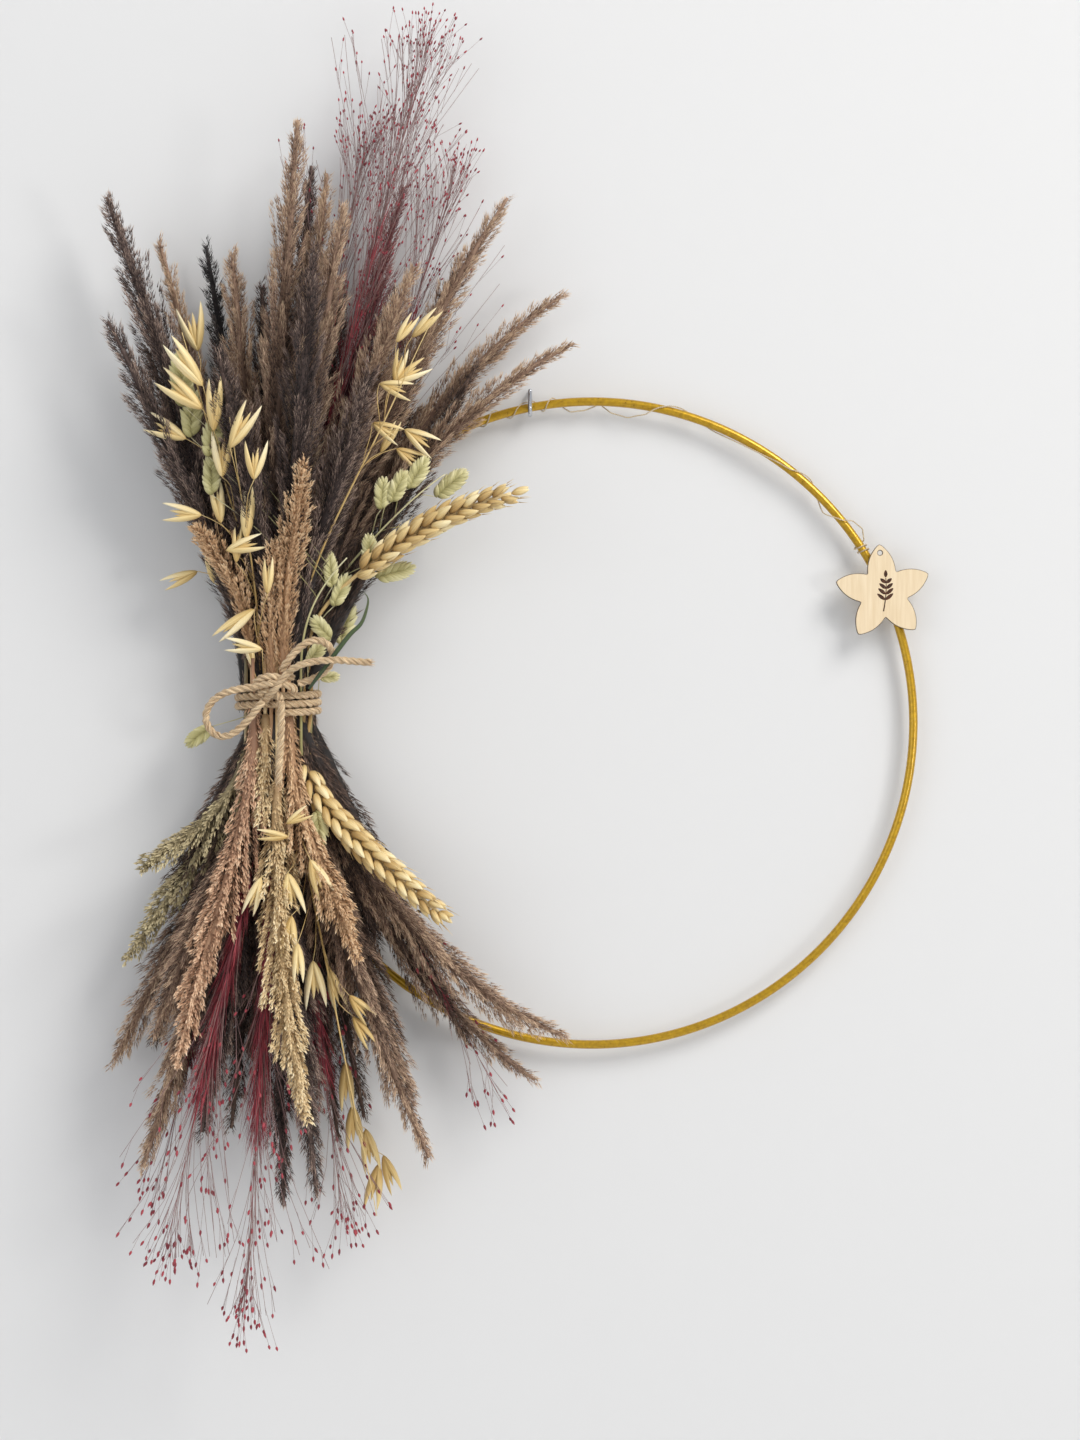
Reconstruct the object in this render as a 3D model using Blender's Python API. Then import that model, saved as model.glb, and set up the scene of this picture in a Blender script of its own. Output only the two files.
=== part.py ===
"""Harvest door wreath: a gold wire hoop on a wall hook, with a two-ended bundle of dried
grasses tied across its left side with jute, and a wooden flower tag glued to its right side.

Metres. +Z is up, +Y goes into the wall, and X runs to the right for someone facing the wreath.
The origin is where the hook's shank comes out of the wall, so the wall is the plane Y = 0.
"""

import math

import bpy
import numpy as np
from mathutils import Matrix, Vector
from mathutils.geometry import convex_hull_2d

GAP = 0.0003  # running gap that keeps touching pieces apart

# Hoop: 4 mm steel wire, 300 mm outside.
HOOP_OUTER = 0.300
HOOP_WIRE = 0.004
HOOP_STANDOFF = 0.007  # wire's centre to the wall
HOOP_SIDEWAYS = 0.0285  # hoop's centre to the right of the hook
HOOP_STEPS = 72

# Hook: a small J of plated wire. The hoop's wire lies in its cup.
HOOK_WIRE = 0.0020
HOOK_DROP = 0.0072  # shank down to the hoop wire's centre
HOOK_CUP_GAP = 0.00045  # under the hoop's wire
HOOK_CUP_SIDE_GAP = 0.0007  # before and behind the hoop's wire
HOOK_SHANK_BEND = 0.0018
HOOK_TIP_RISE = 0.0085  # tip above the hoop wire's centre
HOOK_BEND_STEPS = 4
HOOK_CUP_STEPS = 12
HOOK_TIP_SHARES = (0.0, 0.5, 0.8, 0.97)  # points along the rounded tip

# Waist of the bundle, where the jute holds it against the hoop.
WAIST_RISE = 0.0105  # above the hoop's centre
WAIST_SIDEWAYS = 0.004  # right of the hoop's wire
WAIST_HALF_WIDTH = 0.0158
WAIST_HALF_DEPTH = 0.0125
WAIST_HALF_HEIGHT = 0.009  # the stems run straight over this height
WAIST_OFF_HOOP = 0.0015
WAIST_SQUARENESS = 2.7  # 2 is an ellipse, and more is squarer

# Stems. They lie in layers from the wall (0) to the front (4), and fan out in each layer.
STEM_RADIUS = 0.0009
TIP_RADIUS = 0.0005
STEM_LAYERS = 5
LAYER_SPREAD = 0.013  # a layer's thickness where the bundle is fully open
SPREAD_LENGTH = 0.150  # stem length over which the layers open
BEND_LENGTH = 0.060  # stem length over which a stem leans over
TAIL_LENGTH = 0.016  # a cut end's length past the waist
HEAD_CLEAR = 0.018  # no head starts nearer the waist than this
NECK_STEPS = (0.015, 0.030, 0.045)  # points along the part that leans over
HEAD_STEPS = 7
FULLEST = 0.8  # below 1 puts a head's fullest part under its middle
LEAN_STEPS = 60  # steps in which a stem's lean is summed
AIM_ROUNDS = 12  # rounds that bring a stem's tip to its place

# Stems that point up: name, layer, tip's X and Z from the waist's centre, head's length,
# head's radius, and the angle in degrees by which the head curves outwards.
UP_STEMS = (
    ("brown_plume_1", 0, -0.056, 0.214, 0.100, 0.0022, 0),
    ("black_plume_1", 0, -0.034, 0.212, 0.110, 0.0026, 0),
    ("dark_plume_3", 0, -0.008, 0.193, 0.125, 0.0032, 0),
    ("dark_plume_4", 0, 0.015, 0.249, 0.150, 0.0032, 0),
    ("red_millet_2", 0, 0.044, 0.272, 0.110, 0.0020, 5),
    ("maroon_plume_1", 0, 0.058, 0.239, 0.130, 0.0027, 0),
    ("brown_plume_8", 0, 0.132, 0.187, 0.110, 0.0029, 28),
    ("dark_plume_1", 1, -0.079, 0.233, 0.160, 0.0037, 0),
    ("brown_plume_2", 1, -0.021, 0.207, 0.135, 0.0029, 0),
    ("brown_plume_4", 1, 0.023, 0.244, 0.150, 0.0032, 0),
    ("red_millet_1", 1, 0.074, 0.311, 0.150, 0.0020, 6),
    ("brown_plume_6", 1, 0.107, 0.232, 0.120, 0.0029, 10),
    ("brown_plume_9", 1, 0.138, 0.164, 0.100, 0.0024, 30),
    ("dark_plume_2", 2, -0.078, 0.175, 0.110, 0.0032, -4),
    ("brown_plume_3", 2, 0.010, 0.267, 0.175, 0.0038, 0),
    ("brown_plume_5", 2, 0.031, 0.228, 0.140, 0.0032, 0),
    ("brown_plume_7", 2, 0.064, 0.200, 0.130, 0.0032, 3),
    ("quaking_grass_1", 2, 0.076, 0.102, 0.060, 0.0028, 18),
    ("tan_plume_3", 3, -0.036, 0.078, 0.050, 0.0028, 0),
    ("oat_spray_1", 3, -0.042, 0.166, 0.110, 0.0024, 0),
    ("dark_plume_6", 3, -0.026, 0.160, 0.110, 0.0034, 0),
    ("dark_plume_5", 3, 0.018, 0.205, 0.145, 0.0035, 0),
    ("dark_plume_7", 3, 0.044, 0.150, 0.100, 0.0032, 0),
    ("wheat_ear_1", 3, 0.113, 0.094, 0.085, 0.0040, 32),
    ("oat_spray_2", 4, -0.020, 0.127, 0.080, 0.0022, 0),
    ("tan_plume_2", 4, 0.000, 0.071, 0.048, 0.0024, 0),
    ("tan_plume_1", 4, 0.014, 0.108, 0.082, 0.0027, 0),
    ("quaking_grass_2", 4, 0.032, 0.064, 0.040, 0.0022, 6),
    ("oat_spray_3", 4, 0.072, 0.172, 0.075, 0.0024, 0),
)
# Stems that point down, in the same terms.
DOWN_STEMS = (
    ("brown_plume_11", 0, -0.077, -0.168, 0.115, 0.0032, 0),
    ("brown_plume_15", 0, 0.120, -0.176, 0.110, 0.0027, 26),
    ("green_plume_1", 1, -0.070, -0.119, 0.090, 0.0029, 0),
    ("brown_plume_12", 1, -0.062, -0.216, 0.150, 0.0035, 0),
    ("dark_plume_9", 1, 0.003, -0.233, 0.140, 0.0032, 0),
    ("red_millet_6", 1, 0.032, -0.249, 0.120, 0.0020, 0),
    ("brown_plume_14", 1, 0.133, -0.154, 0.120, 0.0030, 38),
    ("dark_plume_8", 2, -0.034, -0.200, 0.130, 0.0034, 0),
    ("dark_plume_10", 2, 0.019, -0.229, 0.135, 0.0032, 0),
    ("brown_plume_13", 2, 0.071, -0.211, 0.135, 0.0034, 8),
    ("green_plume_2", 3, -0.060, -0.076, 0.060, 0.0024, 0),
    ("brown_plume_17", 3, -0.055, -0.152, 0.110, 0.0034, 0),
    ("red_millet_4", 3, -0.052, -0.262, 0.130, 0.0020, 0),
    ("red_millet_5", 3, -0.014, -0.290, 0.140, 0.0020, 0),
    ("oat_spray_4", 3, 0.046, -0.233, 0.170, 0.0026, 0),
    ("wheat_ear_2", 3, 0.078, -0.099, 0.085, 0.0040, 6),
    ("pink_plume_1", 4, -0.044, -0.166, 0.120, 0.0032, 0),
    ("cream_plume_2", 4, -0.008, -0.055, 0.036, 0.0020, 0),
    ("cream_plume_1", 4, 0.016, -0.191, 0.145, 0.0032, 14),
    ("pink_plume_2", 4, 0.039, -0.117, 0.095, 0.0029, 0),
)

# Jute: three turns round the waist and the hoop's wire, a knot, and a bow.
JUTE_WIDTH = 0.0035
JUTE_TURNS = 3
JUTE_TURN_STEPS = 32
WRAP_GAP = 0.0007  # between the turns' inner side and what they hold
KNOT_SIZE = Vector((0.0160, 0.0076, 0.0090))
KNOT_PLACE = Vector((-0.0005, 0.0, 0.0064))  # from the waist's centre; Y comes from the turns
# The bow's routes, in X, Y and Z from the knot's centre. Each starts on the knot.
LEFT_LOOP = (
    (-0.0102, 0.0000, -0.0004), (-0.0165, -0.0004, -0.0016), (-0.0225, 0.0008, -0.0032),
    (-0.0284, 0.0022, -0.0070), (-0.0314, 0.0036, -0.0128), (-0.0302, 0.0042, -0.0190),
    (-0.0256, 0.0038, -0.0228), (-0.0194, 0.0022, -0.0218), (-0.0130, 0.0008, -0.0164),
    (-0.0084, -0.0004, -0.0108), (-0.0054, -0.0008, -0.0068),
)
RIGHT_LOOP = (
    (0.0028, 0.0006, 0.0067), (0.0058, -0.0002, 0.0112), (0.0098, -0.0008, 0.0160),
    (0.0146, -0.0006, 0.0196), (0.0198, 0.0002, 0.0206), (0.0244, 0.0010, 0.0182),
    (0.0262, 0.0016, 0.0132), (0.0240, 0.0020, 0.0082), (0.0192, 0.0020, 0.0042),
    (0.0140, 0.0014, 0.0020), (0.0104, 0.0008, 0.0010),
)
RIGHT_TAIL = (
    (0.0060, -0.0028, 0.0058), (0.0098, -0.0044, 0.0086), (0.0150, -0.0052, 0.0104),
    (0.0215, -0.0050, 0.0114), (0.0290, -0.0042, 0.0116), (0.0365, -0.0034, 0.0110),
    (0.0438, -0.0030, 0.0104),
)
DOWN_TAIL = (
    (0.0030, -0.0008, -0.0068), (0.0031, -0.0012, -0.0112), (0.0030, -0.0008, -0.0190),
    (0.0026, -0.0006, -0.0270), (0.0020, -0.0010, -0.0360), (0.0018, -0.0014, -0.0450),
)
ROUTE_SPACING = 0.0028

# Fine twine, wound along the top of the hoop from the bundle to the tag.
TWINE_WIDTH = 0.0007
TWINE_STEPS_PER_TURN = 11
TWINE_STEP = 0.004  # along the hoop, where it doesn't turn
# Share of the way round from the hook to the tag, turns (0 outside, 0.25 wall side, 0.5 inside,
# 0.75 front), and how far the twine stands off the wire where it is slack.
TWINE_WINDING = (
    (-0.201, -2.80, 0.0), (-0.166, -2.25, 0.0), (-0.098, -1.25, 0.0), (-0.033, -0.25, 0.0),
    (-0.013, -0.03, 0.0), (0.010, 0.03, 0.0), (0.040, 0.75, 0.0), (0.055, 1.00, 0.0),
    (0.070, 1.30, 0.0002), (0.095, 1.50, 0.0018), (0.126, 1.48, 0.0014), (0.161, 1.32, 0.0),
    (0.191, 1.46, 0.0024), (0.231, 1.52, 0.0038), (0.271, 1.58, 0.0018), (0.302, 1.78, 0.0),
    (0.342, 2.00, 0.0), (0.392, 2.25, 0.0), (0.452, 2.48, 0.0), (0.553, 2.62, 0.0),
    (0.638, 2.76, 0.0), (0.684, 3.00, 0.0), (0.724, 3.30, 0.0), (0.764, 3.50, 0.0014),
    (0.804, 3.75, 0.0), (0.824, 3.96, 0.0014), (0.849, 4.00, 0.0026), (0.872, 4.08, 0.0008),
    (0.881, 4.75, 0.0), (0.889, 5.50, 0.0), (0.897, 6.25, 0.0),
)

# Tag: 3 mm birch plywood cut as a five-petalled flower.
TAG_AROUND = math.radians(65.92)  # its centre round the hoop, clockwise from the top
TAG_INSIDE = 0.0013  # its centre inside the wire's centre line
TAG_PETALS = 5
TAG_TIP_RADIUS = 0.0226
TAG_NOTCH_RADIUS = 0.0107
TAG_BULGE = 0.0019  # how far a petal's side bows out
TAG_SIDE_STEPS = 6
TAG_TURN = math.radians(95)  # the top petal's direction
TAG_THICK = 0.003
TAG_OFF_HOOP = 0.0004
TAG_HOLE_RADIUS = 0.0011
TAG_HOLE_INSET = 0.0042  # from the top petal's tip
TAG_HOLE_STEPS = 14
GLUE_SIZE = Vector((0.014, 0.012, 0.011))  # along the wire, to the wall, across the wire
GLUE_WALL = 0.0013  # glue left behind the wire
CUTTER_REACH = 0.05  # cutters run well past what they cut

HOOP_RADIUS = (HOOP_OUTER - HOOP_WIRE) / 2
WIRE_R = HOOP_WIRE / 2
JUTE_R = JUTE_WIDTH / 2
TWINE_R = TWINE_WIDTH / 2
HOOP_AT = Vector((
    HOOP_SIDEWAYS,
    -HOOP_STANDOFF,
    -HOOK_DROP - math.sqrt(HOOP_RADIUS**2 - HOOP_SIDEWAYS**2),
))
WAIST_AT = Vector((
    HOOP_AT.x - math.sqrt(HOOP_RADIUS**2 - WAIST_RISE**2) + WAIST_SIDEWAYS,
    -HOOP_STANDOFF - WIRE_R - WAIST_OFF_HOOP - WAIST_HALF_DEPTH,
    HOOP_AT.z + WAIST_RISE,
))
KNOT_AT = WAIST_AT + KNOT_PLACE - Vector((
    0, WAIST_HALF_DEPTH + WRAP_GAP + JUTE_WIDTH + GAP + KNOT_SIZE.y / 2, 0))
TAG_TOWARD = Vector((math.sin(TAG_AROUND), 0, math.cos(TAG_AROUND)))


def move_home(obj, group):
    for old in list(obj.users_collection):
        old.objects.unlink(obj)
    group.objects.link(obj)


def new_collection(name):
    group = bpy.data.collections.new(name)
    bpy.context.scene.collection.children.link(group)
    return group


def material(name, colour, roughness, metallic=0.0):
    mat = bpy.data.materials.new(name)
    mat.use_nodes = True
    shader = mat.node_tree.nodes["Principled BSDF"]
    shader.inputs["Base Color"].default_value = (*colour, 1)
    shader.inputs["Roughness"].default_value = roughness
    shader.inputs["Metallic"].default_value = metallic
    return mat


def add_object(name, data, mat, group):
    obj = bpy.data.objects.new(name, data)
    obj.data.materials.append(mat)
    group.objects.link(obj)
    return obj


def tube(name, points, radii, mat, group, resolution=2, closed=False):
    """A round tube along points, in world coordinates, with one radius for each point."""
    curve = bpy.data.curves.new(name, "CURVE")
    curve.dimensions = "3D"
    curve.bevel_depth = max(radii)
    curve.bevel_resolution = resolution
    curve.use_fill_caps = not closed
    line = curve.splines.new("POLY")
    line.points.add(len(points) - 1)
    line.use_cyclic_u = closed
    for place, point, radius in zip(line.points, points, radii):
        place.co = (*point, 1)
        place.radius = radius / max(radii)
    return add_object(name, curve, mat, group)


def ease(x):
    """0 to 1 with level ends."""
    x = min(1.0, max(0.0, x))
    return x * x * (3 - 2 * x)


def smooth_line(route, steps_between):
    """Points on a smooth curve through the route's, with this many steps between each two."""
    pts = [Vector(p) for p in route]
    pts = [2 * pts[0] - pts[1], *pts, 2 * pts[-1] - pts[-2]]
    line = []
    for a, b, c, d in zip(pts, pts[1:], pts[2:], pts[3:]):
        steps = max(1, round(steps_between(b, c)))
        for i in range(steps):
            t = i / steps
            line.append(0.5 * (2 * b + (c - a) * t + (2 * a - 5 * b + 4 * c - d) * t**2
                               + (3 * b - a - 3 * c + d) * t**3))
    return [*line, pts[-2]]


def make_hoop(group):
    mat = material("gold_paint", (0.50, 0.32, 0.03), 0.35, 1.0)
    points = []
    for i in range(HOOP_STEPS):
        turn = math.tau * i / HOOP_STEPS
        points.append(HOOP_AT + HOOP_RADIUS * Vector((math.sin(turn), 0, math.cos(turn))))
    tube("hoop", points, [WIRE_R] * HOOP_STEPS, mat, group, closed=True)


def make_hook(group):
    """Straight out of the wall, down behind the hoop's wire, under it and up in front."""
    mat = material("plated_steel", (0.72, 0.73, 0.75), 0.18, 1.0)
    hook_r = HOOK_WIRE / 2
    back = -HOOP_STANDOFF + WIRE_R + HOOK_CUP_SIDE_GAP + hook_r
    front = -HOOP_STANDOFF - WIRE_R - HOOK_CUP_SIDE_GAP - hook_r
    cup = (back - front) / 2
    cup_z = -HOOK_DROP - WIRE_R - HOOK_CUP_GAP - hook_r + cup
    bend = HOOK_SHANK_BEND
    points = [Vector((0, 0, 0))]
    for i in range(HOOK_BEND_STEPS + 1):
        turn = math.pi / 2 * i / HOOK_BEND_STEPS
        points.append(Vector((0, back + bend - bend * math.sin(turn), -bend + bend * math.cos(turn))))
    for i in range(HOOK_CUP_STEPS + 1):
        turn = math.pi * i / HOOK_CUP_STEPS
        points.append(Vector((0, -HOOP_STANDOFF + cup * math.cos(turn), cup_z - cup * math.sin(turn))))
    radii = [hook_r] * len(points)
    tip_z = -HOOK_DROP + HOOK_TIP_RISE
    for share in HOOK_TIP_SHARES:
        points.append(Vector((0, front, tip_z - hook_r + hook_r * share)))
        radii.append(hook_r * math.sqrt(1 - share**2))
    tube("wall_hook", points, radii, mat, group, resolution=3)


def waist_outline(grow, count):
    """A taut line round the waist and the hoop's wire, as count points seen from above."""
    wire_x = -WAIST_SIDEWAYS
    wire_y = WAIST_HALF_DEPTH + WAIST_OFF_HOOP + WIRE_R
    cloud = []
    for i in range(count * 4):
        turn = math.tau * i / (count * 4)
        x, y = math.sin(turn), math.cos(turn)
        square_x = math.copysign(abs(x) ** (2 / WAIST_SQUARENESS), x)
        square_y = math.copysign(abs(y) ** (2 / WAIST_SQUARENESS), y)
        cloud.append((square_x * (WAIST_HALF_WIDTH + grow), square_y * (WAIST_HALF_DEPTH + grow)))
        cloud.append((wire_x + x * (WIRE_R + grow), wire_y + y * (WIRE_R + grow)))
    ring = [Vector(cloud[i]) for i in convex_hull_2d(cloud)]
    ring.sort(key=lambda p: math.atan2(p.x, -p.y) % math.tau)
    ring = [*ring, ring[0]]
    along = np.concatenate([[0], np.cumsum([(b - a).length for a, b in zip(ring, ring[1:])])])
    at = np.linspace(0, along[-1], count, endpoint=False)
    xs = np.interp(at, along, [p.x for p in ring])
    ys = np.interp(at, along, [p.y for p in ring])
    return list(zip(xs, ys))


def make_wraps(mat, group):
    """One length of jute that climbs a little with each turn. It starts and ends in front."""
    ring = waist_outline(JUTE_R + WRAP_GAP, JUTE_TURN_STEPS)
    climb = JUTE_WIDTH + GAP
    total = JUTE_TURNS * JUTE_TURN_STEPS
    points = []
    for i in range(total + 1):
        x, y = ring[i % JUTE_TURN_STEPS]
        points.append(WAIST_AT + Vector((x, y, climb * (i / JUTE_TURN_STEPS - JUTE_TURNS / 2))))
    tube("jute_wraps", points, [JUTE_R] * len(points), mat, group)


def make_bow(group):
    mat = material("jute", (0.45, 0.30, 0.16), 0.9)
    make_wraps(mat, group)
    bpy.ops.mesh.primitive_uv_sphere_add(segments=14, ring_count=9, radius=0.5, location=KNOT_AT)
    knot = bpy.context.object
    knot.name = "bow_knot"
    knot.data.transform(Matrix.Diagonal((*KNOT_SIZE, 1)))
    knot.data.materials.append(mat)
    move_home(knot, group)
    routes = {
        "bow_loop_left": LEFT_LOOP,
        "bow_loop_right": RIGHT_LOOP,
        "bow_tail_right": RIGHT_TAIL,
        "bow_tail_down": DOWN_TAIL,
    }
    for name, route in routes.items():
        line = smooth_line(route, lambda b, c: (c - b).length / ROUTE_SPACING)
        points = [KNOT_AT + p for p in line]
        tube(name, points, [JUTE_R] * len(points), mat, group)


def make_twine(group):
    mat = material("fine_twine", (0.62, 0.50, 0.33), 0.9)
    at_hook = math.asin(-HOOP_SIDEWAYS / HOOP_RADIUS)
    way = TAG_AROUND - at_hook
    wound = smooth_line(TWINE_WINDING, lambda b, c: (
        abs(c.y - b.y) * TWINE_STEPS_PER_TURN + (c.x - b.x) * way * HOOP_RADIUS / TWINE_STEP))
    points = []
    for share, turns, slack in wound:
        angle = at_hook + share * way
        out = Vector((math.sin(angle), 0, math.cos(angle)))
        turn = math.tau * turns
        reach = WIRE_R + GAP + TWINE_R + max(0.0, slack)
        points.append(HOOP_AT + out * (HOOP_RADIUS + reach * math.cos(turn))
                      + Vector((0, reach * math.sin(turn), 0)))
    tube("fine_twine", points, [TWINE_R] * len(points), mat, group, resolution=1)


def tag_outline():
    """Five petals. Each side bows out between a notch and a tip."""
    step = math.pi / TAG_PETALS
    corners = []
    for i in range(2 * TAG_PETALS):
        radius = TAG_NOTCH_RADIUS if i % 2 else TAG_TIP_RADIUS
        angle = TAG_TURN + i * step
        corners.append(Vector((math.cos(angle), math.sin(angle))) * radius)
    outline = []
    for i, start in enumerate(corners):
        end = corners[(i + 1) % len(corners)]
        side = end - start
        outward = Vector((side.y, -side.x)).normalized()
        for k in range(TAG_SIDE_STEPS):
            share = k / TAG_SIDE_STEPS
            outline.append(start + side * share + outward * TAG_BULGE * 4 * share * (1 - share))
    return outline


def flat_loop(curve, points):
    line = curve.splines.new("POLY")
    line.points.add(len(points) - 1)
    line.use_cyclic_u = True
    for place, point in zip(line.points, points):
        place.co = (point.x, point.y, 0, 1)


def make_tag(group):
    mat = material("birch", (0.80, 0.62, 0.42), 0.6)
    curve = bpy.data.curves.new("flower_tag", "CURVE")
    curve.dimensions = "2D"
    curve.fill_mode = "BOTH"
    curve.extrude = TAG_THICK / 2
    flat_loop(curve, tag_outline())
    top = Vector((math.cos(TAG_TURN), math.sin(TAG_TURN)))
    hole_at = top * (TAG_TIP_RADIUS - TAG_HOLE_INSET)
    hole = []
    for i in range(TAG_HOLE_STEPS):
        turn = math.tau * i / TAG_HOLE_STEPS
        hole.append(hole_at + TAG_HOLE_RADIUS * Vector((math.cos(turn), math.sin(turn))))
    flat_loop(curve, hole)
    tag = add_object("flower_tag", curve, mat, group)
    tag.rotation_euler = (math.pi / 2, 0, 0)
    off_wire = WIRE_R + TAG_OFF_HOOP + TAG_THICK / 2
    tag.location = HOOP_AT + TAG_TOWARD * (HOOP_RADIUS - TAG_INSIDE) - Vector((0, off_wire, 0))


def make_glue(group, cutters):
    """A saddle of set glue behind the tag, over the hoop's wire."""
    mat = material("clear_glue", (0.85, 0.80, 0.66), 0.35)
    wire_at = HOOP_AT + TAG_TOWARD * HOOP_RADIUS
    bpy.ops.mesh.primitive_uv_sphere_add(segments=20, ring_count=12, radius=0.5)
    blob = bpy.context.object
    blob.name = "glue_saddle"
    blob.data.transform(Matrix.Diagonal((*GLUE_SIZE, 1)))
    blob.data.materials.append(mat)
    front = -HOOP_STANDOFF - WIRE_R - TAG_OFF_HOOP + GAP
    back = -HOOP_STANDOFF + WIRE_R + GAP + GLUE_WALL
    blob.rotation_euler = (0, TAG_AROUND, 0)
    blob.location = (wire_at.x, back - GLUE_SIZE.y / 2, wire_at.z)
    bpy.ops.mesh.primitive_cube_add(size=1)
    face = bpy.context.object
    face.name = "glue_face_cutter"
    face.data.transform(Matrix.Diagonal((CUTTER_REACH, CUTTER_REACH, CUTTER_REACH, 1)))
    face.location = (wire_at.x, front - CUTTER_REACH / 2, wire_at.z)
    bpy.ops.mesh.primitive_cylinder_add(vertices=16, radius=WIRE_R + 2 * GAP, depth=CUTTER_REACH)
    wire = bpy.context.object
    wire.name = "glue_wire_cutter"
    wire.rotation_euler = (0, TAG_AROUND + math.pi / 2, 0)
    wire.location = wire_at
    for cutter in (face, wire):
        cutter.hide_render = True
        cutter.display_type = "WIRE"
        cut = blob.modifiers.new(cutter.name, "BOOLEAN")
        cut.operation = "DIFFERENCE"
        cut.solver = "EXACT"
        cut.object = cutter
    move_home(blob, group)
    move_home(face, cutters)
    move_home(wire, cutters)


def layer_depth(layer, along):
    """How far a layer's middle stands from the waist's centre, forwards being negative."""
    thick = 2 * WAIST_HALF_DEPTH / STEM_LAYERS
    thick += (LAYER_SPREAD - thick) * ease(along / SPREAD_LENGTH)
    return WAIST_HALF_DEPTH - (layer + 0.5) * thick


def lean_line(side, slot, lean, curl, length, layer, stops):
    """Points at these distances past the waist, on a stem that leans over and then curls."""
    found = []
    x = z = 0.0
    last = 0.0
    for stop in stops:
        step = (stop - last) / LEAN_STEPS
        for i in range(LEAN_STEPS):
            s = last + (i + 0.5) * step
            turn = lean * ease(s / BEND_LENGTH) + curl * max(0.0, s / length) ** 2
            x += math.sin(turn) * step
            z += math.cos(turn) * step
        last = stop
        place = Vector((slot + x, layer_depth(layer, stop), side * (WAIST_HALF_HEIGHT + z)))
        found.append(WAIST_AT + place)
    return found


def aim(side, slot, tip_x, tip_z, curl):
    """The lean and the length that bring a stem's tip to its place."""
    rise = abs(tip_z) - WAIST_HALF_HEIGHT
    lean = math.atan2(tip_x - slot, rise)
    length = math.hypot(tip_x - slot, rise)
    for _ in range(AIM_ROUNDS):
        tip = lean_line(side, slot, lean, curl, length, 0, (length,))[0] - WAIST_AT
        miss_x, miss_z = tip_x - tip.x, abs(tip_z) - abs(tip.z)
        end = lean + curl / 2
        length += miss_x * math.sin(end) + miss_z * math.cos(end)
        lean += (miss_x * math.cos(end) - miss_z * math.sin(end)) / length
    return lean, length


def head_radius(share, radius):
    """A spindle that is fullest a little below the head's middle."""
    return TIP_RADIUS + (radius - TIP_RADIUS) * math.sin(math.pi * share**FULLEST)


def make_stem(stem, side, slot, tail_lean, mat, group):
    name, layer, tip_x, tip_z, head, radius, curl = stem
    curl = math.radians(curl)
    lean, length = aim(side, slot, tip_x, tip_z, curl)
    head = min(head, length - HEAD_CLEAR)
    neck = [s for s in NECK_STEPS if s < length - head]
    shares = [i / HEAD_STEPS for i in range(1, HEAD_STEPS + 1)]
    stops = [0.0, *neck, *(length - head + head * share for share in shares)]
    points = lean_line(side, slot, lean, curl, length, layer, stops)
    radii = [STEM_RADIUS] * (1 + len(neck))
    radii += [max(TIP_RADIUS, head_radius(share, radius)) for share in shares]
    tails = lean_line(-side, slot, tail_lean, 0.0, length, layer, (0.0, TAIL_LENGTH / 2, TAIL_LENGTH))
    points = [*reversed(tails), *points]
    radii = [STEM_RADIUS] * 3 + radii
    tube(name, points, radii, mat, group, resolution=1)


def lean_of(stem):
    return math.atan2(stem[2], abs(stem[3]))


def make_layer(layer, mats, group):
    """Shares the layer's width at the waist between its stems, in the order in which they lean."""
    stems = [(stem, 1) for stem in UP_STEMS if stem[1] == layer]
    stems += [(stem, -1) for stem in DOWN_STEMS if stem[1] == layer]
    stems.sort(key=lambda pair: lean_of(pair[0]))
    height = abs(1 - (layer + 0.5) * 2 / STEM_LAYERS)
    round_off = (1 - height**WAIST_SQUARENESS) ** (1 / WAIST_SQUARENESS)
    reach = WAIST_HALF_WIDTH * round_off - STEM_RADIUS
    slots = [reach * (2 * i / (len(stems) - 1) - 1) for i in range(len(stems))]
    for (stem, side), slot in zip(stems, slots):
        others = [(s, lean_of(o)) for (o, way), s in zip(stems, slots) if way == -side]
        tail_lean = float(np.interp(slot, [s for s, _ in others], [a for _, a in others]))
        make_stem(stem, side, slot, tail_lean, mats[stem[0].rsplit("_", 1)[0]], group)


def make_bundle(group):
    mats = {
        "brown_plume": material("brown_plume", (0.20, 0.12, 0.08), 0.9),
        "black_plume": material("black_plume", (0.03, 0.03, 0.03), 0.9),
        "dark_plume": material("dark_plume", (0.07, 0.05, 0.045), 0.9),
        "maroon_plume": material("maroon_plume", (0.16, 0.04, 0.04), 0.9),
        "tan_plume": material("tan_plume", (0.50, 0.33, 0.18), 0.9),
        "pink_plume": material("pink_plume", (0.42, 0.24, 0.17), 0.9),
        "cream_plume": material("cream_plume", (0.66, 0.48, 0.27), 0.9),
        "green_plume": material("green_plume", (0.30, 0.27, 0.15), 0.9),
        "red_millet": material("red_millet", (0.26, 0.03, 0.05), 0.8),
        "oat_spray": material("oat_spray", (0.72, 0.56, 0.25), 0.7),
        "quaking_grass": material("quaking_grass", (0.52, 0.50, 0.25), 0.7),
        "wheat_ear": material("wheat_ear", (0.66, 0.48, 0.20), 0.7),
    }
    for layer in range(STEM_LAYERS):
        make_layer(layer, mats, group)


def hang_on(axis_name, place, group, pieces):
    """Parents the pieces to an empty on their joint's axis and leaves them where they are."""
    axis = bpy.data.objects.new(axis_name, None)
    axis.location = place
    group.objects.link(axis)
    for piece in pieces:
        piece.parent = axis
        piece.matrix_parent_inverse = Matrix.Translation(-place)
    return axis


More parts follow.
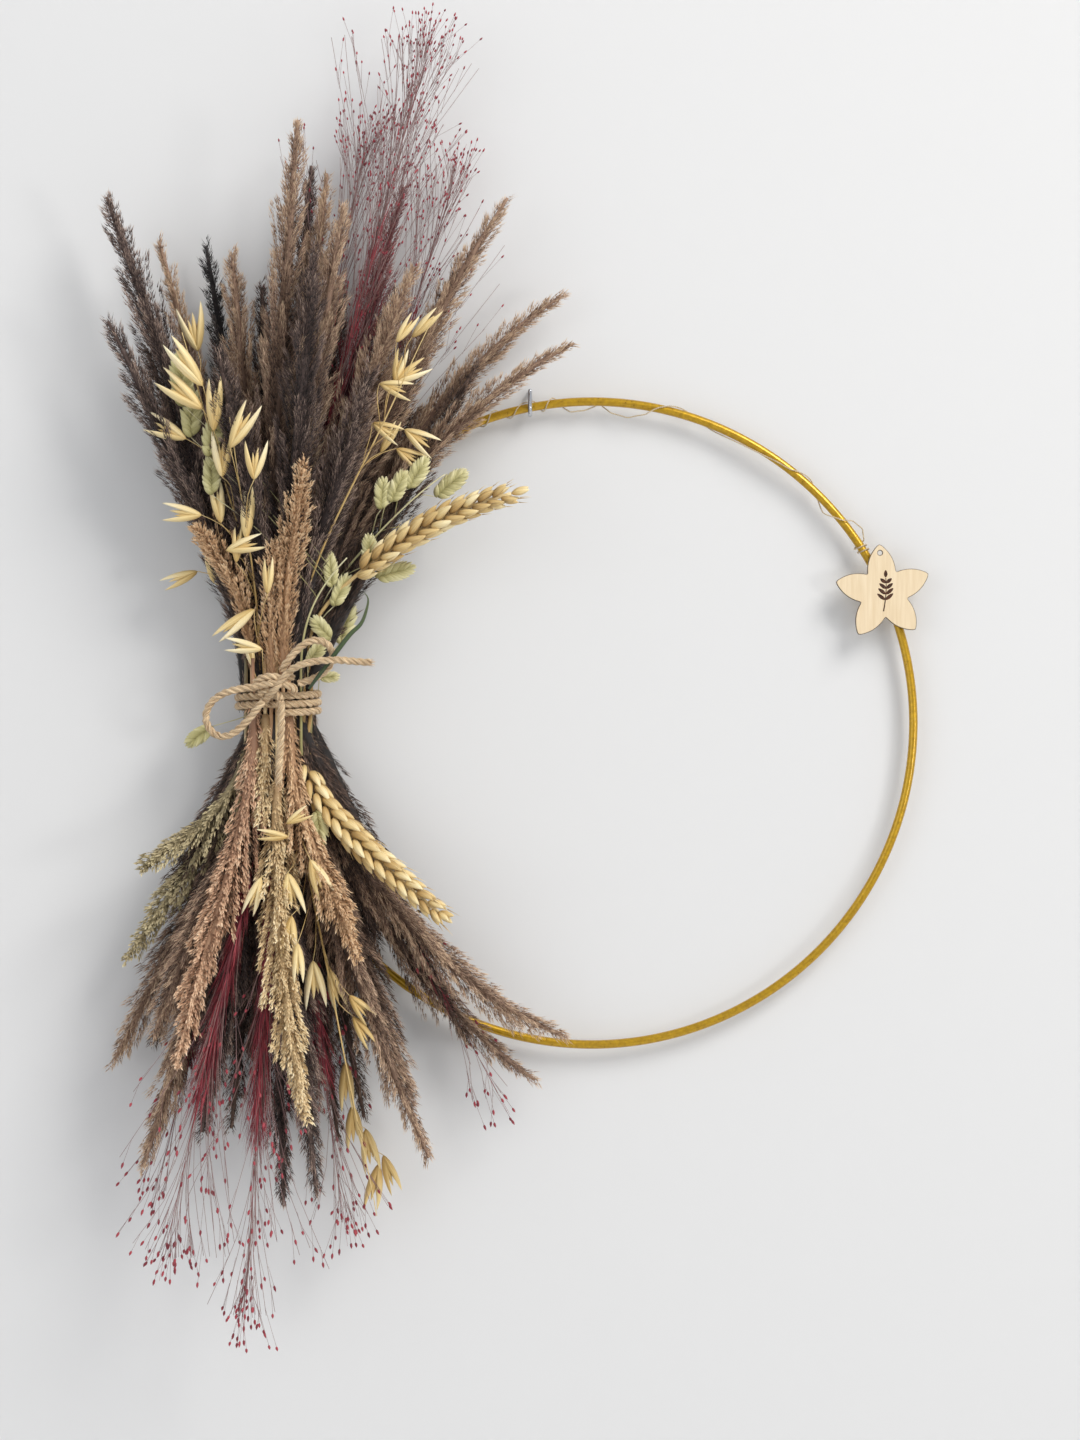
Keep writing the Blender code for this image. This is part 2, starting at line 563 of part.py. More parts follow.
for old in list(bpy.data.objects):
    bpy.data.objects.remove(old)
wreath = new_collection("harvest_door_wreath")
cutters = new_collection("cutters")
make_hook(wreath)
make_hoop(wreath)
make_twine(wreath)
make_tag(wreath)
make_glue(wreath, cutters)
on_hoop = [obj for obj in wreath.objects if obj.name != "wall_hook"]
make_bow(wreath)
make_bundle(wreath)
tied_on = [obj for obj in wreath.objects if obj not in on_hoop and obj.name != "wall_hook"]
slide_axis = hang_on("bundle_slide_axis", HOOP_AT, wreath, tied_on)
hang_on("wreath_swing_axis", Vector((0, -HOOP_STANDOFF, -HOOK_DROP)), wreath, [*on_hoop, slide_axis])
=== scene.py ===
"""Harvest door wreath, as it looks: dried grasses tied to a gold wire hoop with a jute bow."""
import math

import bpy
import numpy as np
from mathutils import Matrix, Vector


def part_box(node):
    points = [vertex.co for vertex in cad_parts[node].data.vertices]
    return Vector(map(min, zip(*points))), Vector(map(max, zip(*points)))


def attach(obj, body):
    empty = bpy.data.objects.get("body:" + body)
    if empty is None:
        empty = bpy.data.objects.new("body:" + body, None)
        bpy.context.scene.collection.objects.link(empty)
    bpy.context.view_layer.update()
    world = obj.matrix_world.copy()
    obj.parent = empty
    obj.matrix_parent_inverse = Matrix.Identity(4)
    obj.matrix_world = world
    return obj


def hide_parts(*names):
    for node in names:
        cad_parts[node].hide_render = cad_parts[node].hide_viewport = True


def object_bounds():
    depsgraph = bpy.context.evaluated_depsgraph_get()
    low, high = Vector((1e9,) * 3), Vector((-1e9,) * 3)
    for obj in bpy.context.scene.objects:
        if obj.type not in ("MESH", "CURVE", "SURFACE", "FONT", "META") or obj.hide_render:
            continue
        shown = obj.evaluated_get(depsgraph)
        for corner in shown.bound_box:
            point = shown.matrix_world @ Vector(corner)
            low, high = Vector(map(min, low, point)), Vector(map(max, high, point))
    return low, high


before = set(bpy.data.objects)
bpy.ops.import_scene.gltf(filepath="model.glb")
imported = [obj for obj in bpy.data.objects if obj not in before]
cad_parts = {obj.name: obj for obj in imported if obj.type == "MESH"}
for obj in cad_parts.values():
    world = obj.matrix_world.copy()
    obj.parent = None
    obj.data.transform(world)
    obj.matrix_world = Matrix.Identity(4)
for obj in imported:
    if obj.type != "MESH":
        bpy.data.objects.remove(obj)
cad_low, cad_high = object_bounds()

# The wall that the wreath hangs on, the floor under it and soft studio light from the upper
# right. The wall shows only from the room: from behind it, the view goes through.
hoop_low, hoop_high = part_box("hoop")
hoop_centre = (hoop_low + hoop_high) / 2
hoop_wire = hoop_high.y - hoop_low.y
hoop_radius = (hoop_high.x - hoop_low.x - hoop_wire) / 2
WALL_SIZE = 9.0
WALL_BEHIND = 0.0004
FLOOR_BELOW = 1.45
WALL_COLOUR = (0.87, 0.87, 0.87)
VIEW_SHARE = 2.21  # the view's height, in widths of the hoop
VIEW_DISTANCE = 2.4
VIEW_AIM = Vector((-0.0239, 0, 0.0014))  # from the hoop's centre
SENSOR = 36.0
AIR_COLOUR = (0.97, 0.98, 1.0)
AIR_LIGHT = 0.60


def from_srgb(colour):
    """A colour as a paint chart gives it, made linear."""
    return tuple(c / 12.92 if c <= 0.04045 else ((c + 0.055) / 1.055) ** 2.4 for c in colour)


def put(tree, kind, values=None, **settings):
    """Adds a shader node with these settings, and with these socket values or links."""
    made = tree.nodes.new("ShaderNode" + kind)
    for name, value in settings.items():
        setattr(made, name, value)
    for name, value in (values or {}).items():
        if isinstance(value, bpy.types.NodeSocket):
            tree.links.new(value, made.inputs[name])
        else:
            made.inputs[name].default_value = value
    return made


def new_material(name, colour, roughness, **sockets):
    """A material with its Principled shader set. Words in socket names are joined by _."""
    mat = bpy.data.materials.new(name)
    mat.use_nodes = True
    shader = mat.node_tree.nodes["Principled BSDF"]
    shader.inputs["Base Color"].default_value = (*from_srgb(colour), 1)
    shader.inputs["Roughness"].default_value = roughness
    for socket, value in sockets.items():
        shader.inputs[socket.replace("_", " ")].default_value = value
    return mat, mat.node_tree, shader


def stage_plane(name, mat, place, turn):
    """A flat square of the stage: the wall or the floor."""
    bpy.ops.mesh.primitive_plane_add(size=WALL_SIZE, location=place, rotation=turn)
    plane = bpy.context.object
    plane.name = name
    plane.data.materials.append(mat)


wall_mat, tree, shader = new_material("wall_paint", WALL_COLOUR, roughness=0.9)
from_behind = put(tree, "NewGeometry").outputs["Backfacing"]
clear = put(tree, "BsdfTransparent")
either = put(tree, "MixShader", {0: from_behind, 1: shader.outputs[0], 2: clear.outputs[0]})
tree.links.new(either.outputs[0], tree.nodes["Material Output"].inputs["Surface"])
stage_plane("wall", wall_mat, (hoop_centre.x, WALL_BEHIND, hoop_centre.z), (math.pi / 2, 0, 0))
floor_mat = new_material("floor_paint", WALL_COLOUR, roughness=0.9)[0]
stage_plane("floor", floor_mat, (hoop_centre.x, -WALL_SIZE / 2, hoop_centre.z - FLOOR_BELOW), (0, 0, 0))

world = bpy.data.worlds.new("studio")
world.use_nodes = True
world.node_tree.nodes["Background"].inputs["Color"].default_value = (*AIR_COLOUR, 1)
world.node_tree.nodes["Background"].inputs["Strength"].default_value = AIR_LIGHT
bpy.context.scene.world = world
bpy.context.scene.view_settings.view_transform = "Standard"


def soft_light(name, place, size, power, colour):
    """A square lamp at this place from the hoop's centre, which it faces."""
    lamp = bpy.data.lights.new(name, "AREA")
    lamp.size = size
    lamp.energy = power
    lamp.color = colour
    obj = bpy.data.objects.new(name, lamp)
    obj.location = hoop_centre + Vector(place)
    obj.rotation_euler = (-Vector(place)).to_track_quat("-Z", "Y").to_euler()
    obj.visible_camera = False
    bpy.context.scene.collection.objects.link(obj)


# Place, size in metres, watts and colour.
soft_light("key_light", (1.5, -1.7, 1.8), 1.3, 52.0, (1.0, 0.98, 0.95))
soft_light("side_light", (2.0, -1.9, -0.2), 0.5, 9.0, (1.0, 0.99, 0.97))
soft_light("fill_light", (-1.8, -2.2, 0.3), 2.0, 12.0, (0.93, 0.96, 1.0))

camera = bpy.data.objects.new("camera", bpy.data.cameras.new("camera"))
camera.data.sensor_width = SENSOR
camera.location = hoop_centre + VIEW_AIM - Vector((0, VIEW_DISTANCE, 0))
camera.rotation_euler = (math.pi / 2, 0, 0)
camera.data.lens = SENSOR * VIEW_DISTANCE / (VIEW_SHARE * (hoop_high.x - hoop_low.x))
bpy.context.scene.collection.objects.link(camera)
bpy.context.scene.camera = camera

# Bow: one length of three-ply jute tied in a bow over the bundle's waist. Its two loops go back
# into the knot, and its two tails are cut ends that fray. The knot is made further down.
JUTE = 0.0035
JUTE_TURN = 0.0105  # rope length in which the plies go round once
LONGEST_ROPE = 0.36  # rope length that the fibre pattern spans
FRAY = 60  # fibres in the brush at a cut end
BOW = {  # each cord's length, its far end, and its route from the knot's centre
    "bow_loop_left": (0.067, "object", (
        (-0.0102, 0.0000, -0.0004), (-0.0165, -0.0004, -0.0016), (-0.0225, 0.0008, -0.0032),
        (-0.0284, 0.0022, -0.0070), (-0.0314, 0.0036, -0.0128), (-0.0302, 0.0042, -0.0190),
        (-0.0256, 0.0038, -0.0228), (-0.0194, 0.0022, -0.0218), (-0.0130, 0.0008, -0.0164),
        (-0.0084, -0.0004, -0.0108), (-0.0054, -0.0008, -0.0068))),
    "bow_loop_right": (0.055, "object", (
        (0.0028, 0.0006, 0.0067), (0.0058, -0.0002, 0.0112), (0.0098, -0.0008, 0.0160),
        (0.0146, -0.0006, 0.0196), (0.0198, 0.0002, 0.0206), (0.0244, 0.0010, 0.0182),
        (0.0262, 0.0016, 0.0132), (0.0240, 0.0020, 0.0082), (0.0192, 0.0020, 0.0042),
        (0.0140, 0.0014, 0.0020), (0.0104, 0.0008, 0.0010))),
    "bow_tail_right": (0.040, "bare", (
        (0.0060, -0.0028, 0.0058), (0.0098, -0.0044, 0.0086), (0.0150, -0.0052, 0.0104),
        (0.0215, -0.0050, 0.0114), (0.0290, -0.0042, 0.0116), (0.0365, -0.0034, 0.0110),
        (0.0438, -0.0030, 0.0104))),
    "bow_tail_down": (0.038, "bare", (
        (0.0030, -0.0008, -0.0068), (0.0031, -0.0012, -0.0112), (0.0030, -0.0008, -0.0190),
        (0.0026, -0.0006, -0.0270), (0.0020, -0.0010, -0.0360), (0.0018, -0.0014, -0.0450))),
}
MAP = "OFBake"  # the map that holds where on its strand each point lies
COLUMNS = 16
COLUMN_FILL = 0.9


class Heap:
    """Many small shapes that make one piece. A mark is where a point lies on its strand."""

    def __init__(self):
        self.points, self.marks, self.faces, self.count = [], [], [], 0

    def add(self, points, faces, marks):
        """Faces all have one number of corners, and count from the first of these points."""
        points = np.asarray(points, float).reshape(-1, 3)
        self.points.append(points)
        self.marks.append(np.asarray(marks, float).reshape(-1, 2))
        self.faces.append(np.asarray(faces, int) + self.count)
        self.count += len(points)


def make_piece(name, heap, mat, body, nodes=()):
    """Turns a heap into one object that rides on the body and stands for the nodes."""
    mesh = bpy.data.meshes.new(name)
    points = np.concatenate(heap.points)
    corners = np.concatenate([f.ravel() for f in heap.faces])
    sizes = np.concatenate([np.full(len(f), f.shape[1]) for f in heap.faces])
    mesh.vertices.add(len(points))
    mesh.vertices.foreach_set("co", points.astype(np.float32).ravel())
    mesh.loops.add(len(corners))
    mesh.loops.foreach_set("vertex_index", corners.astype(np.int32))
    mesh.polygons.add(len(sizes))
    mesh.polygons.foreach_set("loop_start", (np.cumsum(sizes) - sizes).astype(np.int32))
    marks = np.concatenate(heap.marks)[corners]
    mesh.uv_layers.new(name=MAP).uv.foreach_set("vector", marks.astype(np.float32).ravel())
    mesh.update(calc_edges=True)
    mesh.shade_smooth()
    mesh.materials.append(mat)
    obj = bpy.data.objects.new(name, mesh)
    bpy.context.scene.collection.objects.link(obj)
    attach(obj, body)
    if nodes:
        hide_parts(*nodes)
    return obj


def smooth_line(route, spacing):
    """Points on a smooth curve through the route's, about this far apart."""
    pts = [Vector(p) for p in route]
    pts = [2 * pts[0] - pts[1], *pts, 2 * pts[-1] - pts[-2]]
    line = []
    for a, b, c, d in zip(pts, pts[1:], pts[2:], pts[3:]):
        steps = max(1, round((c - b).length / spacing))
        for i in range(steps):
            t = i / steps
            line.append(0.5 * (2 * b + (c - a) * t + (2 * a - 5 * b + 4 * c - d) * t**2
                               + (3 * b - a - 3 * c + d) * t**3))
    return np.array([*line, pts[-2]])


def unit(v):
    return v / np.maximum(np.linalg.norm(v, axis=-1, keepdims=True), 1e-12)


def lengths_along(line):
    """How far along the line each of its points lies."""
    return np.concatenate([[0], np.cumsum(np.linalg.norm(np.diff(line, axis=0), axis=1))])


def frames_along(line):
    """Tangents, and two directions across them that don't twist."""
    tangents = unit(np.gradient(line, axis=0))
    first = np.cross(tangents[0], (0.31, 0.86, 0.41))
    across = [unit(first)]
    for t in tangents[1:]:
        last = across[-1]
        across.append(unit(last - t * (last @ t)))
    across = np.array(across)
    return tangents, across, np.cross(tangents, across)


def grid_faces(rings, sides):
    """Quads between rings of points that close on themselves."""
    ring, side = np.meshgrid(np.arange(rings - 1), np.arange(sides), indexing="ij")
    after = (side + 1) % sides
    near, far = ring * sides, (ring + 1) * sides
    return np.stack((near + side, near + after, far + after, far + side), -1).reshape(-1, 4)


def mark(tone, across, along):
    """Where a point lies on its strand, which has the column of its tone on the map."""
    column = np.clip(np.floor(np.asarray(tone) * COLUMNS), 0, COLUMNS - 1)
    u = (column + 0.5 + (np.asarray(across) - 0.5) * COLUMN_FILL) / COLUMNS
    return np.stack(np.broadcast_arrays(u, along), -1)


rng = np.random.default_rng(5)


def scatter(count, size=1.0):
    """Random small moves in every direction, mostly within this size."""
    return size * rng.standard_normal((count, 3))


def add_rope(heap, line, width, turn, plies=3, fuzz=0.0, frays=(0, 0)):
    """Twisted plies, loose fibres that stand off them, and a brush of fibres at frayed ends. Fuzz is
    the fibres in a metre, and turn is the rope length in which the plies go round once."""
    line = smooth_line(line, width / 4)
    along = lengths_along(line)
    tangents, across, upward = frames_along(line)
    sides = 7 if width > 0.001 else 5
    ply_at, ply_r = (0.25, 0.275) if plies == 3 else (0.24, 0.28)  # shares of the rope's width
    spin = math.tau * along / turn
    for ply in range(plies):
        angle = spin + math.tau * ply / plies
        centre = line + width * ply_at * (across * np.cos(angle)[:, None] + upward * np.sin(angle)[:, None])
        swell = 1 + 0.07 * np.sin(along / width * 1.7 + ply * 2) + 0.05 * rng.standard_normal(len(line))
        swell[[0, -1]] *= 0.6
        around = angle[:, None] + math.tau * np.arange(sides) / sides
        out = across[:, None] * np.cos(around)[..., None] + upward[:, None] * np.sin(around)[..., None]
        points = centre[:, None] + out * (width * ply_r * swell)[:, None, None]
        place = (ply + np.arange(sides) / sides) / plies
        marks = np.stack(np.broadcast_arrays(place[None], along[:, None] / LONGEST_ROPE), -1)
        heap.add(points, grid_faces(len(line), sides), marks)
        for ring in (np.arange(sides)[::-1], (len(line) - 1) * sides + np.arange(sides)):
            heap.add(points.reshape(-1, 3)[ring], [list(range(sides))], marks.reshape(-1, 2)[ring])
    count = int(fuzz * along[-1])
    at = rng.integers(1, len(line) - 1, count)
    turn_at = rng.uniform(0, math.tau, count)
    out = across[at] * np.cos(turn_at)[:, None] + upward[at] * np.sin(turn_at)[:, None]
    root = line[at] + out * width * 0.42
    way = unit(tangents[at] * rng.choice([-1, 1], count)[:, None]
               + out * rng.uniform(0.1, 0.6, count)[:, None]
               + scatter(count, 0.3))
    add_strands(heap, root, way, rng.uniform(0.3, 0.72, count) * width, width * 0.035, out,
                rng.uniform(0, 1, count), at=along[at] / LONGEST_ROPE)
    for end, brush in zip((0, -1), frays):
        way = tangents[end] * (1 if end else -1)
        spread = scatter(brush, 0.36)
        root = line[end] + width * 0.25 * unit(scatter(brush)) - way * width * 0.4
        add_strands(heap, root, unit(way + spread), rng.uniform(0.5, 1.05, brush) * width, width * 0.05,
                    unit(scatter(brush)), rng.uniform(0, 1, brush),
                    at=np.full(brush, along[end] / LONGEST_ROPE))


def add_strands(heap, root, way, length, width, facing, tone, at=None, fold=0.0, belly=0.4):
    """Thin pointed strands, widest at the belly, a share of their length, or at the root where
    that is 0. A fold creases each one like a husk."""
    count = len(root)
    side = unit(np.cross(way, facing))
    front = np.cross(side, way)
    length = np.broadcast_to(length, count)[:, None]
    width = np.broadcast_to(width, count)[:, None]
    half = side * width / 2
    if not belly:
        points = np.stack([root - half, root + half, root + way * length], 1)
        faces = 3 * np.arange(count)[:, None] + [0, 1, 2]
        heap.add(points, faces, mark(tone[:, None], [0.4, 0.6, 0.5], [0.01, 0.01, 0.99]))
        return
    middle = root + way * length * belly
    back = front * width * fold
    points = np.stack([root, middle + half - back, root + way * length, middle - half - back], 1)
    start = 4 * np.arange(count)[:, None]
    faces = np.concatenate([start + [0, 1, 2], start + [0, 2, 3]])
    if at is None:
        marks = mark(tone[:, None], [0.5, 0.6, 0.5, 0.4], [0.01, belly, 0.99, belly])
    else:
        marks = np.stack([np.repeat(tone[:, None], 4, 1) + [0, 0.004, 0, -0.004],
                          at[:, None] + [0, 0.004, 0.008, 0.004]], -1).clip(0, 1)
    heap.add(points, faces, marks)


def new_group(name, inputs, outputs):
    """A shader node group with these number inputs, at these values, and number outputs."""
    group = bpy.data.node_groups.new(name, "ShaderNodeTree")
    for socket, value in inputs.items():
        made = group.interface.new_socket(socket, in_out="INPUT", socket_type="NodeSocketFloat")
        made.default_value = value
    for socket in outputs:
        group.interface.new_socket(socket, in_out="OUTPUT", socket_type="NodeSocketFloat")
    return group, group.nodes.new("NodeGroupInput"), group.nodes.new("NodeGroupOutput")


fibre_streaks, given, result = new_group(
    "fibre_streaks", {"Across Scale": 100.0, "Along Scale": 10.0, "Detail": 3.0}, ["Streak"])
place = put(fibre_streaks, "UVMap", uv_map=MAP)
stretch = put(fibre_streaks, "CombineXYZ", {
    "X": given.outputs["Across Scale"], "Y": given.outputs["Along Scale"]})
stretched = put(fibre_streaks, "VectorMath", {
    0: place.outputs[0], 1: stretch.outputs[0]}, operation="MULTIPLY")
streak = put(fibre_streaks, "TexNoise", {
    "Vector": stretched.outputs[0], "Scale": 1.0, "Detail": given.outputs["Detail"]})
fibre_streaks.links.new(streak.outputs[0], result.inputs["Streak"])


def mix_colours(tree, share, first, second):
    """Goes from the first colour to the second. Each is a paint chart's colour or a socket."""
    ends = [c if isinstance(c, bpy.types.NodeSocket) else (*from_srgb(c), 1) for c in (first, second)]
    return put(tree, "Mix", {0: share, 6: ends[0], 7: ends[1]}, data_type="RGBA").outputs[2]


def two_tone(tree, shader, value, dark, pale, low=0.35, high=0.65):
    """Base Color from dark to pale as the value goes from low to high."""
    share = put(tree, "MapRange", {"Value": value, "From Min": low, "From Max": high})
    mixed = mix_colours(tree, share.outputs[0], dark, pale)
    tree.links.new(mixed, shader.inputs["Base Color"])


def add_bump(tree, shader, value, depth):
    """Bumps this deep where the value is 1."""
    bump = put(tree, "Bump", {"Height": value, "Distance": depth, "Strength": 1.0})
    tree.links.new(bump.outputs[0], shader.inputs["Normal"])


def rope_material(name, dark, pale, across, along):
    """Its fibres run along the plies, this fine across them and along them."""
    mat, tree, shader = new_material(name, pale, roughness=0.86, Sheen_Weight=0.25, Sheen_Roughness=0.5)
    fibres = put(tree, "Group", node_tree=fibre_streaks)
    fibres.inputs["Across Scale"].default_value = across
    fibres.inputs["Along Scale"].default_value = along
    two_tone(tree, shader, fibres.outputs[0], dark, pale)
    add_bump(tree, shader, fibres.outputs[0], 0.00025)
    return mat


jute_mat = rope_material("jute", (0.62, 0.49, 0.35), (0.97, 0.87, 0.71), across=34.0, along=60.0)
knot_low, knot_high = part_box("bow_knot")
knot_centre = np.array((knot_low + knot_high) / 2)
for name, (length, far_end, route) in BOW.items():
    line = knot_centre + np.array(route)
    heap = Heap()
    frays = (0, FRAY if far_end == "bare" else 0)
    add_rope(heap, line, JUTE, JUTE_TURN, fuzz=2600, frays=frays)
    piece = make_piece(name + "_rope", heap, jute_mat, "bundle", [name])

# Hook: a small J of plated steel wire that comes out of the wall, passes under the hoop and
# stands up in front of it. Its tip is rounded over.
SHANK_BEND = 0.0018
HOOK_SIDES = 20
hook_low, hook_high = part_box("wall_hook")
hook_r = (hook_high.x - hook_low.x) / 2
cup = hoop_centre.y - hook_low.y - hook_r
cup_z = hook_low.z + hook_r + cup


def add_tube(heap, line, radii, sides, tone=0.5):
    """A round tube with flat ends."""
    _, across, upward = frames_along(line)
    around = math.tau * np.arange(sides) / sides
    out = across[:, None] * np.cos(around)[:, None] + upward[:, None] * np.sin(around)[:, None]
    points = line[:, None] + out * np.broadcast_to(radii, len(line))[:, None, None]
    marks = mark(tone, (np.arange(sides) / sides)[None], np.linspace(0.01, 0.99, len(line))[:, None])
    heap.add(points, grid_faces(len(line), sides), marks)
    heap.faces.append(np.array([np.arange(sides)[::-1] + heap.count - len(line) * sides]))
    heap.faces.append(np.array([np.arange(sides) + heap.count - sides]))


turn = np.linspace(0, math.pi / 2, 9)
back = hoop_centre.y + cup
shank = np.stack([0 * turn, back + SHANK_BEND * (1 - np.sin(turn)), SHANK_BEND * (np.cos(turn) - 1)], 1)
turn = np.linspace(0, math.pi, 33)
bottom = np.stack([0 * turn, hoop_centre.y + cup * np.cos(turn), cup_z - cup * np.sin(turn)], 1)
lift = np.sin(np.linspace(0, math.pi / 2, 9)[:-1])
tip = np.array([(0, hook_low.y + hook_r, hook_high.z - hook_r + hook_r * x) for x in lift])
hook_line = np.concatenate([[(0, 0, 0)], shank, bottom, tip])
hook_radii = np.full(len(hook_line), hook_r)
hook_radii[-len(lift):] = hook_r * np.sqrt(1 - lift**2)
heap = Heap()
add_tube(heap, hook_line, hook_radii, HOOK_SIDES)
hook_mat, tree, shader = new_material("plated_steel", (0.80, 0.81, 0.83), roughness=0.16, Metallic=1.0)
coords = put(tree, "TexCoord").outputs["Object"]
haze = put(tree, "TexNoise", {"Vector": coords, "Scale": 900.0, "Detail": 4.0})
rough = put(tree, "MapRange", {"Value": haze.outputs[0], "To Min": 0.03, "To Max": 0.16})
tree.links.new(rough.outputs[0], shader.inputs["Roughness"])
add_bump(tree, shader, haze.outputs[0], 0.00002)
make_piece("hook_wire", heap, hook_mat, "hook", ["wall_hook"])

# Hoop: 4 mm steel wire bent to a ring, its ends butted and welded behind the bundle, and
# painted with a gold metallic paint that lies a little uneven.
HOOP_RINGS = 288
HOOP_SIDES = 20
WELD_TURN = math.radians(215)
WELD_SWELL = 0.06
WELD_WIDTH = 0.0015
around = math.tau * np.arange(HOOP_RINGS) / HOOP_RINGS
out = np.stack([np.sin(around), 0 * around, np.cos(around)], 1)
section = math.tau * np.arange(HOOP_SIDES) / HOOP_SIDES
weld = 1 + WELD_SWELL * np.exp(-((around - WELD_TURN) * hoop_radius / WELD_WIDTH) ** 2)
reach = hoop_wire / 2 * weld[:, None, None]
points = np.array(hoop_centre) + out[:, None] * hoop_radius + reach * (
    out[:, None] * np.cos(section)[None, :, None] + np.array((0, 1, 0)) * np.sin(section)[None, :, None])
marks = np.stack(np.broadcast_arrays(section[None] / math.tau, around[:, None] / math.tau), -1)
heap = Heap()
heap.add(points, grid_faces(HOOP_RINGS + 1, HOOP_SIDES) % (HOOP_RINGS * HOOP_SIDES), marks)
gold_mat, tree, shader = new_material(
    "gold_paint", (0.68, 0.54, 0.08), roughness=0.3, Metallic=0.6, Coat_Weight=0.5, Coat_Roughness=0.12)
coords = put(tree, "TexCoord").outputs["Object"]
cloud = put(tree, "TexNoise", {"Vector": coords, "Scale": 620.0, "Detail": 5.0})
two_tone(tree, shader, cloud.outputs[0], (0.66, 0.50, 0.03), (0.81, 0.64, 0.08), low=0.25, high=0.75)
rough = put(tree, "MapRange", {"Value": cloud.outputs[0], "To Min": 0.22, "To Max": 0.4})
tree.links.new(rough.outputs[0], shader.inputs["Roughness"])
skin = put(tree, "TexNoise", {"Vector": coords, "Scale": 1400.0, "Detail": 2.0})
add_bump(tree, shader, skin.outputs[0], 0.00006)
make_piece("hoop_ring", heap, gold_mat, "wreath", ["hoop"])

# Fine twine: two thin plies wound by hand along the top of the hoop. It stands off in slack
# loops in places, and ends in a few tight turns beside the tag.
TWINE = 0.0007
TWINE_TURN = 0.0021
TWINE_OFF_WIRE = 0.0003
TWINE_STEPS = 14  # points in a turn round the wire
TAG_AROUND = math.radians(65.92)  # the tag's centre round the hoop, clockwise from the top
TWINE_WINDING = (  # share of the way from the hook to the tag, turns, and slack
    (-0.201, -2.80, 0.0), (-0.166, -2.25, 0.0), (-0.098, -1.25, 0.0), (-0.033, -0.25, 0.0),
    (-0.013, -0.03, 0.0), (0.010, 0.03, 0.0), (0.040, 0.75, 0.0), (0.055, 1.00, 0.0),
    (0.070, 1.30, 0.0002), (0.095, 1.50, 0.0018), (0.126, 1.48, 0.0014), (0.161, 1.32, 0.0),
    (0.191, 1.46, 0.0024), (0.231, 1.52, 0.0038), (0.271, 1.58, 0.0018), (0.302, 1.78, 0.0),
    (0.342, 2.00, 0.0), (0.392, 2.25, 0.0), (0.452, 2.48, 0.0), (0.553, 2.62, 0.0),
    (0.638, 2.76, 0.0), (0.684, 3.00, 0.0), (0.724, 3.30, 0.0), (0.764, 3.50, 0.0014),
    (0.804, 3.75, 0.0), (0.824, 3.96, 0.0014), (0.849, 4.00, 0.0026), (0.872, 4.08, 0.0008),
    (0.881, 4.75, 0.0), (0.889, 5.50, 0.0), (0.897, 6.25, 0.0),
)
at_hook = math.asin(-hoop_centre.x / hoop_radius)
wound = np.array([r for a, b in zip(TWINE_WINDING, TWINE_WINDING[1:])
                  for r in np.linspace(a, b, 2 + int(TWINE_STEPS * abs(b[1] - a[1])), endpoint=False)])
angle = at_hook + wound[:, 0] * (TAG_AROUND - at_hook)
out = np.stack([np.sin(angle), 0 * angle, np.cos(angle)], 1)
turn = math.tau * wound[:, 1:2]
reach = hoop_wire / 2 + TWINE_OFF_WIRE + TWINE / 2 + wound[:, 2:]
outward = out * (hoop_radius + reach * np.cos(turn))
twine_line = np.array(hoop_centre) + outward + reach * np.sin(turn) * (0, 1, 0)
heap = Heap()
add_rope(heap, twine_line, TWINE, TWINE_TURN, plies=2, fuzz=900)
twine_mat = rope_material("twine", (0.74, 0.64, 0.48), (0.97, 0.91, 0.78), across=20.0, along=300.0)
make_piece("twine_winding", heap, twine_mat, "wreath", ["fine_twine"])

# Tag: a five-petalled flower laser-cut from 3 mm birch plywood. The laser has burnt its edges
# and the small sprig on its face. Its hole is empty: hot glue holds it to the wire.
TAG_THICK = 0.003
TAG_PETALS = 5
TAG_TIP_RADIUS = 0.0226
TAG_NOTCH_RADIUS = 0.0107
TAG_BULGE = 0.0019
TAG_EDGE_POINTS = 14  # between a tip and a notch
TAG_INSIDE_WIRE = 0.0013  # its centre, from the wire's middle towards the hoop's centre
TAG_TURN = math.radians(95)
TAG_BEVEL = 0.00035
TAG_HOLE_RADIUS = 0.0011
TAG_HOLE_INSET = 0.0042
TAG_HOLE_POINTS = 24
GRAIN_SCALE = (900.0, 60.0, 900.0)  # fine across the grain, long along it
tag_low, tag_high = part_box("flower_tag")
tag_toward = np.array((math.sin(TAG_AROUND), 0, math.cos(TAG_AROUND)))
tag_at = np.array(hoop_centre) + tag_toward * (hoop_radius - TAG_INSIDE_WIRE)
tag_at[1] = (tag_low.y + tag_high.y) / 2
turns = np.arange(2 * TAG_PETALS + 1)  # tips and notches by turns
corner = TAG_TURN + math.pi / TAG_PETALS * turns
reach = np.where(turns % 2, TAG_NOTCH_RADIUS, TAG_TIP_RADIUS)
corners = np.stack([reach * np.cos(corner), reach * np.sin(corner)], 1)
outline = []
for a, b in zip(corners, corners[1:]):
    outward = np.array((b[1] - a[1], a[0] - b[0])) / np.hypot(*(b - a))
    for share in np.linspace(0, 1, TAG_EDGE_POINTS, endpoint=False):
        outline.append(a + (b - a) * share + outward * TAG_BULGE * 4 * share * (1 - share))
outline = np.array(outline)
outline = 0.2 * np.roll(outline, 1, 0) + 0.6 * outline + 0.2 * np.roll(outline, -1, 0)  # rounds its corners
round_hole = math.tau * np.arange(TAG_HOLE_POINTS) / TAG_HOLE_POINTS
hole_at = (TAG_TIP_RADIUS - TAG_HOLE_INSET) * np.array((math.cos(TAG_TURN), math.sin(TAG_TURN)))
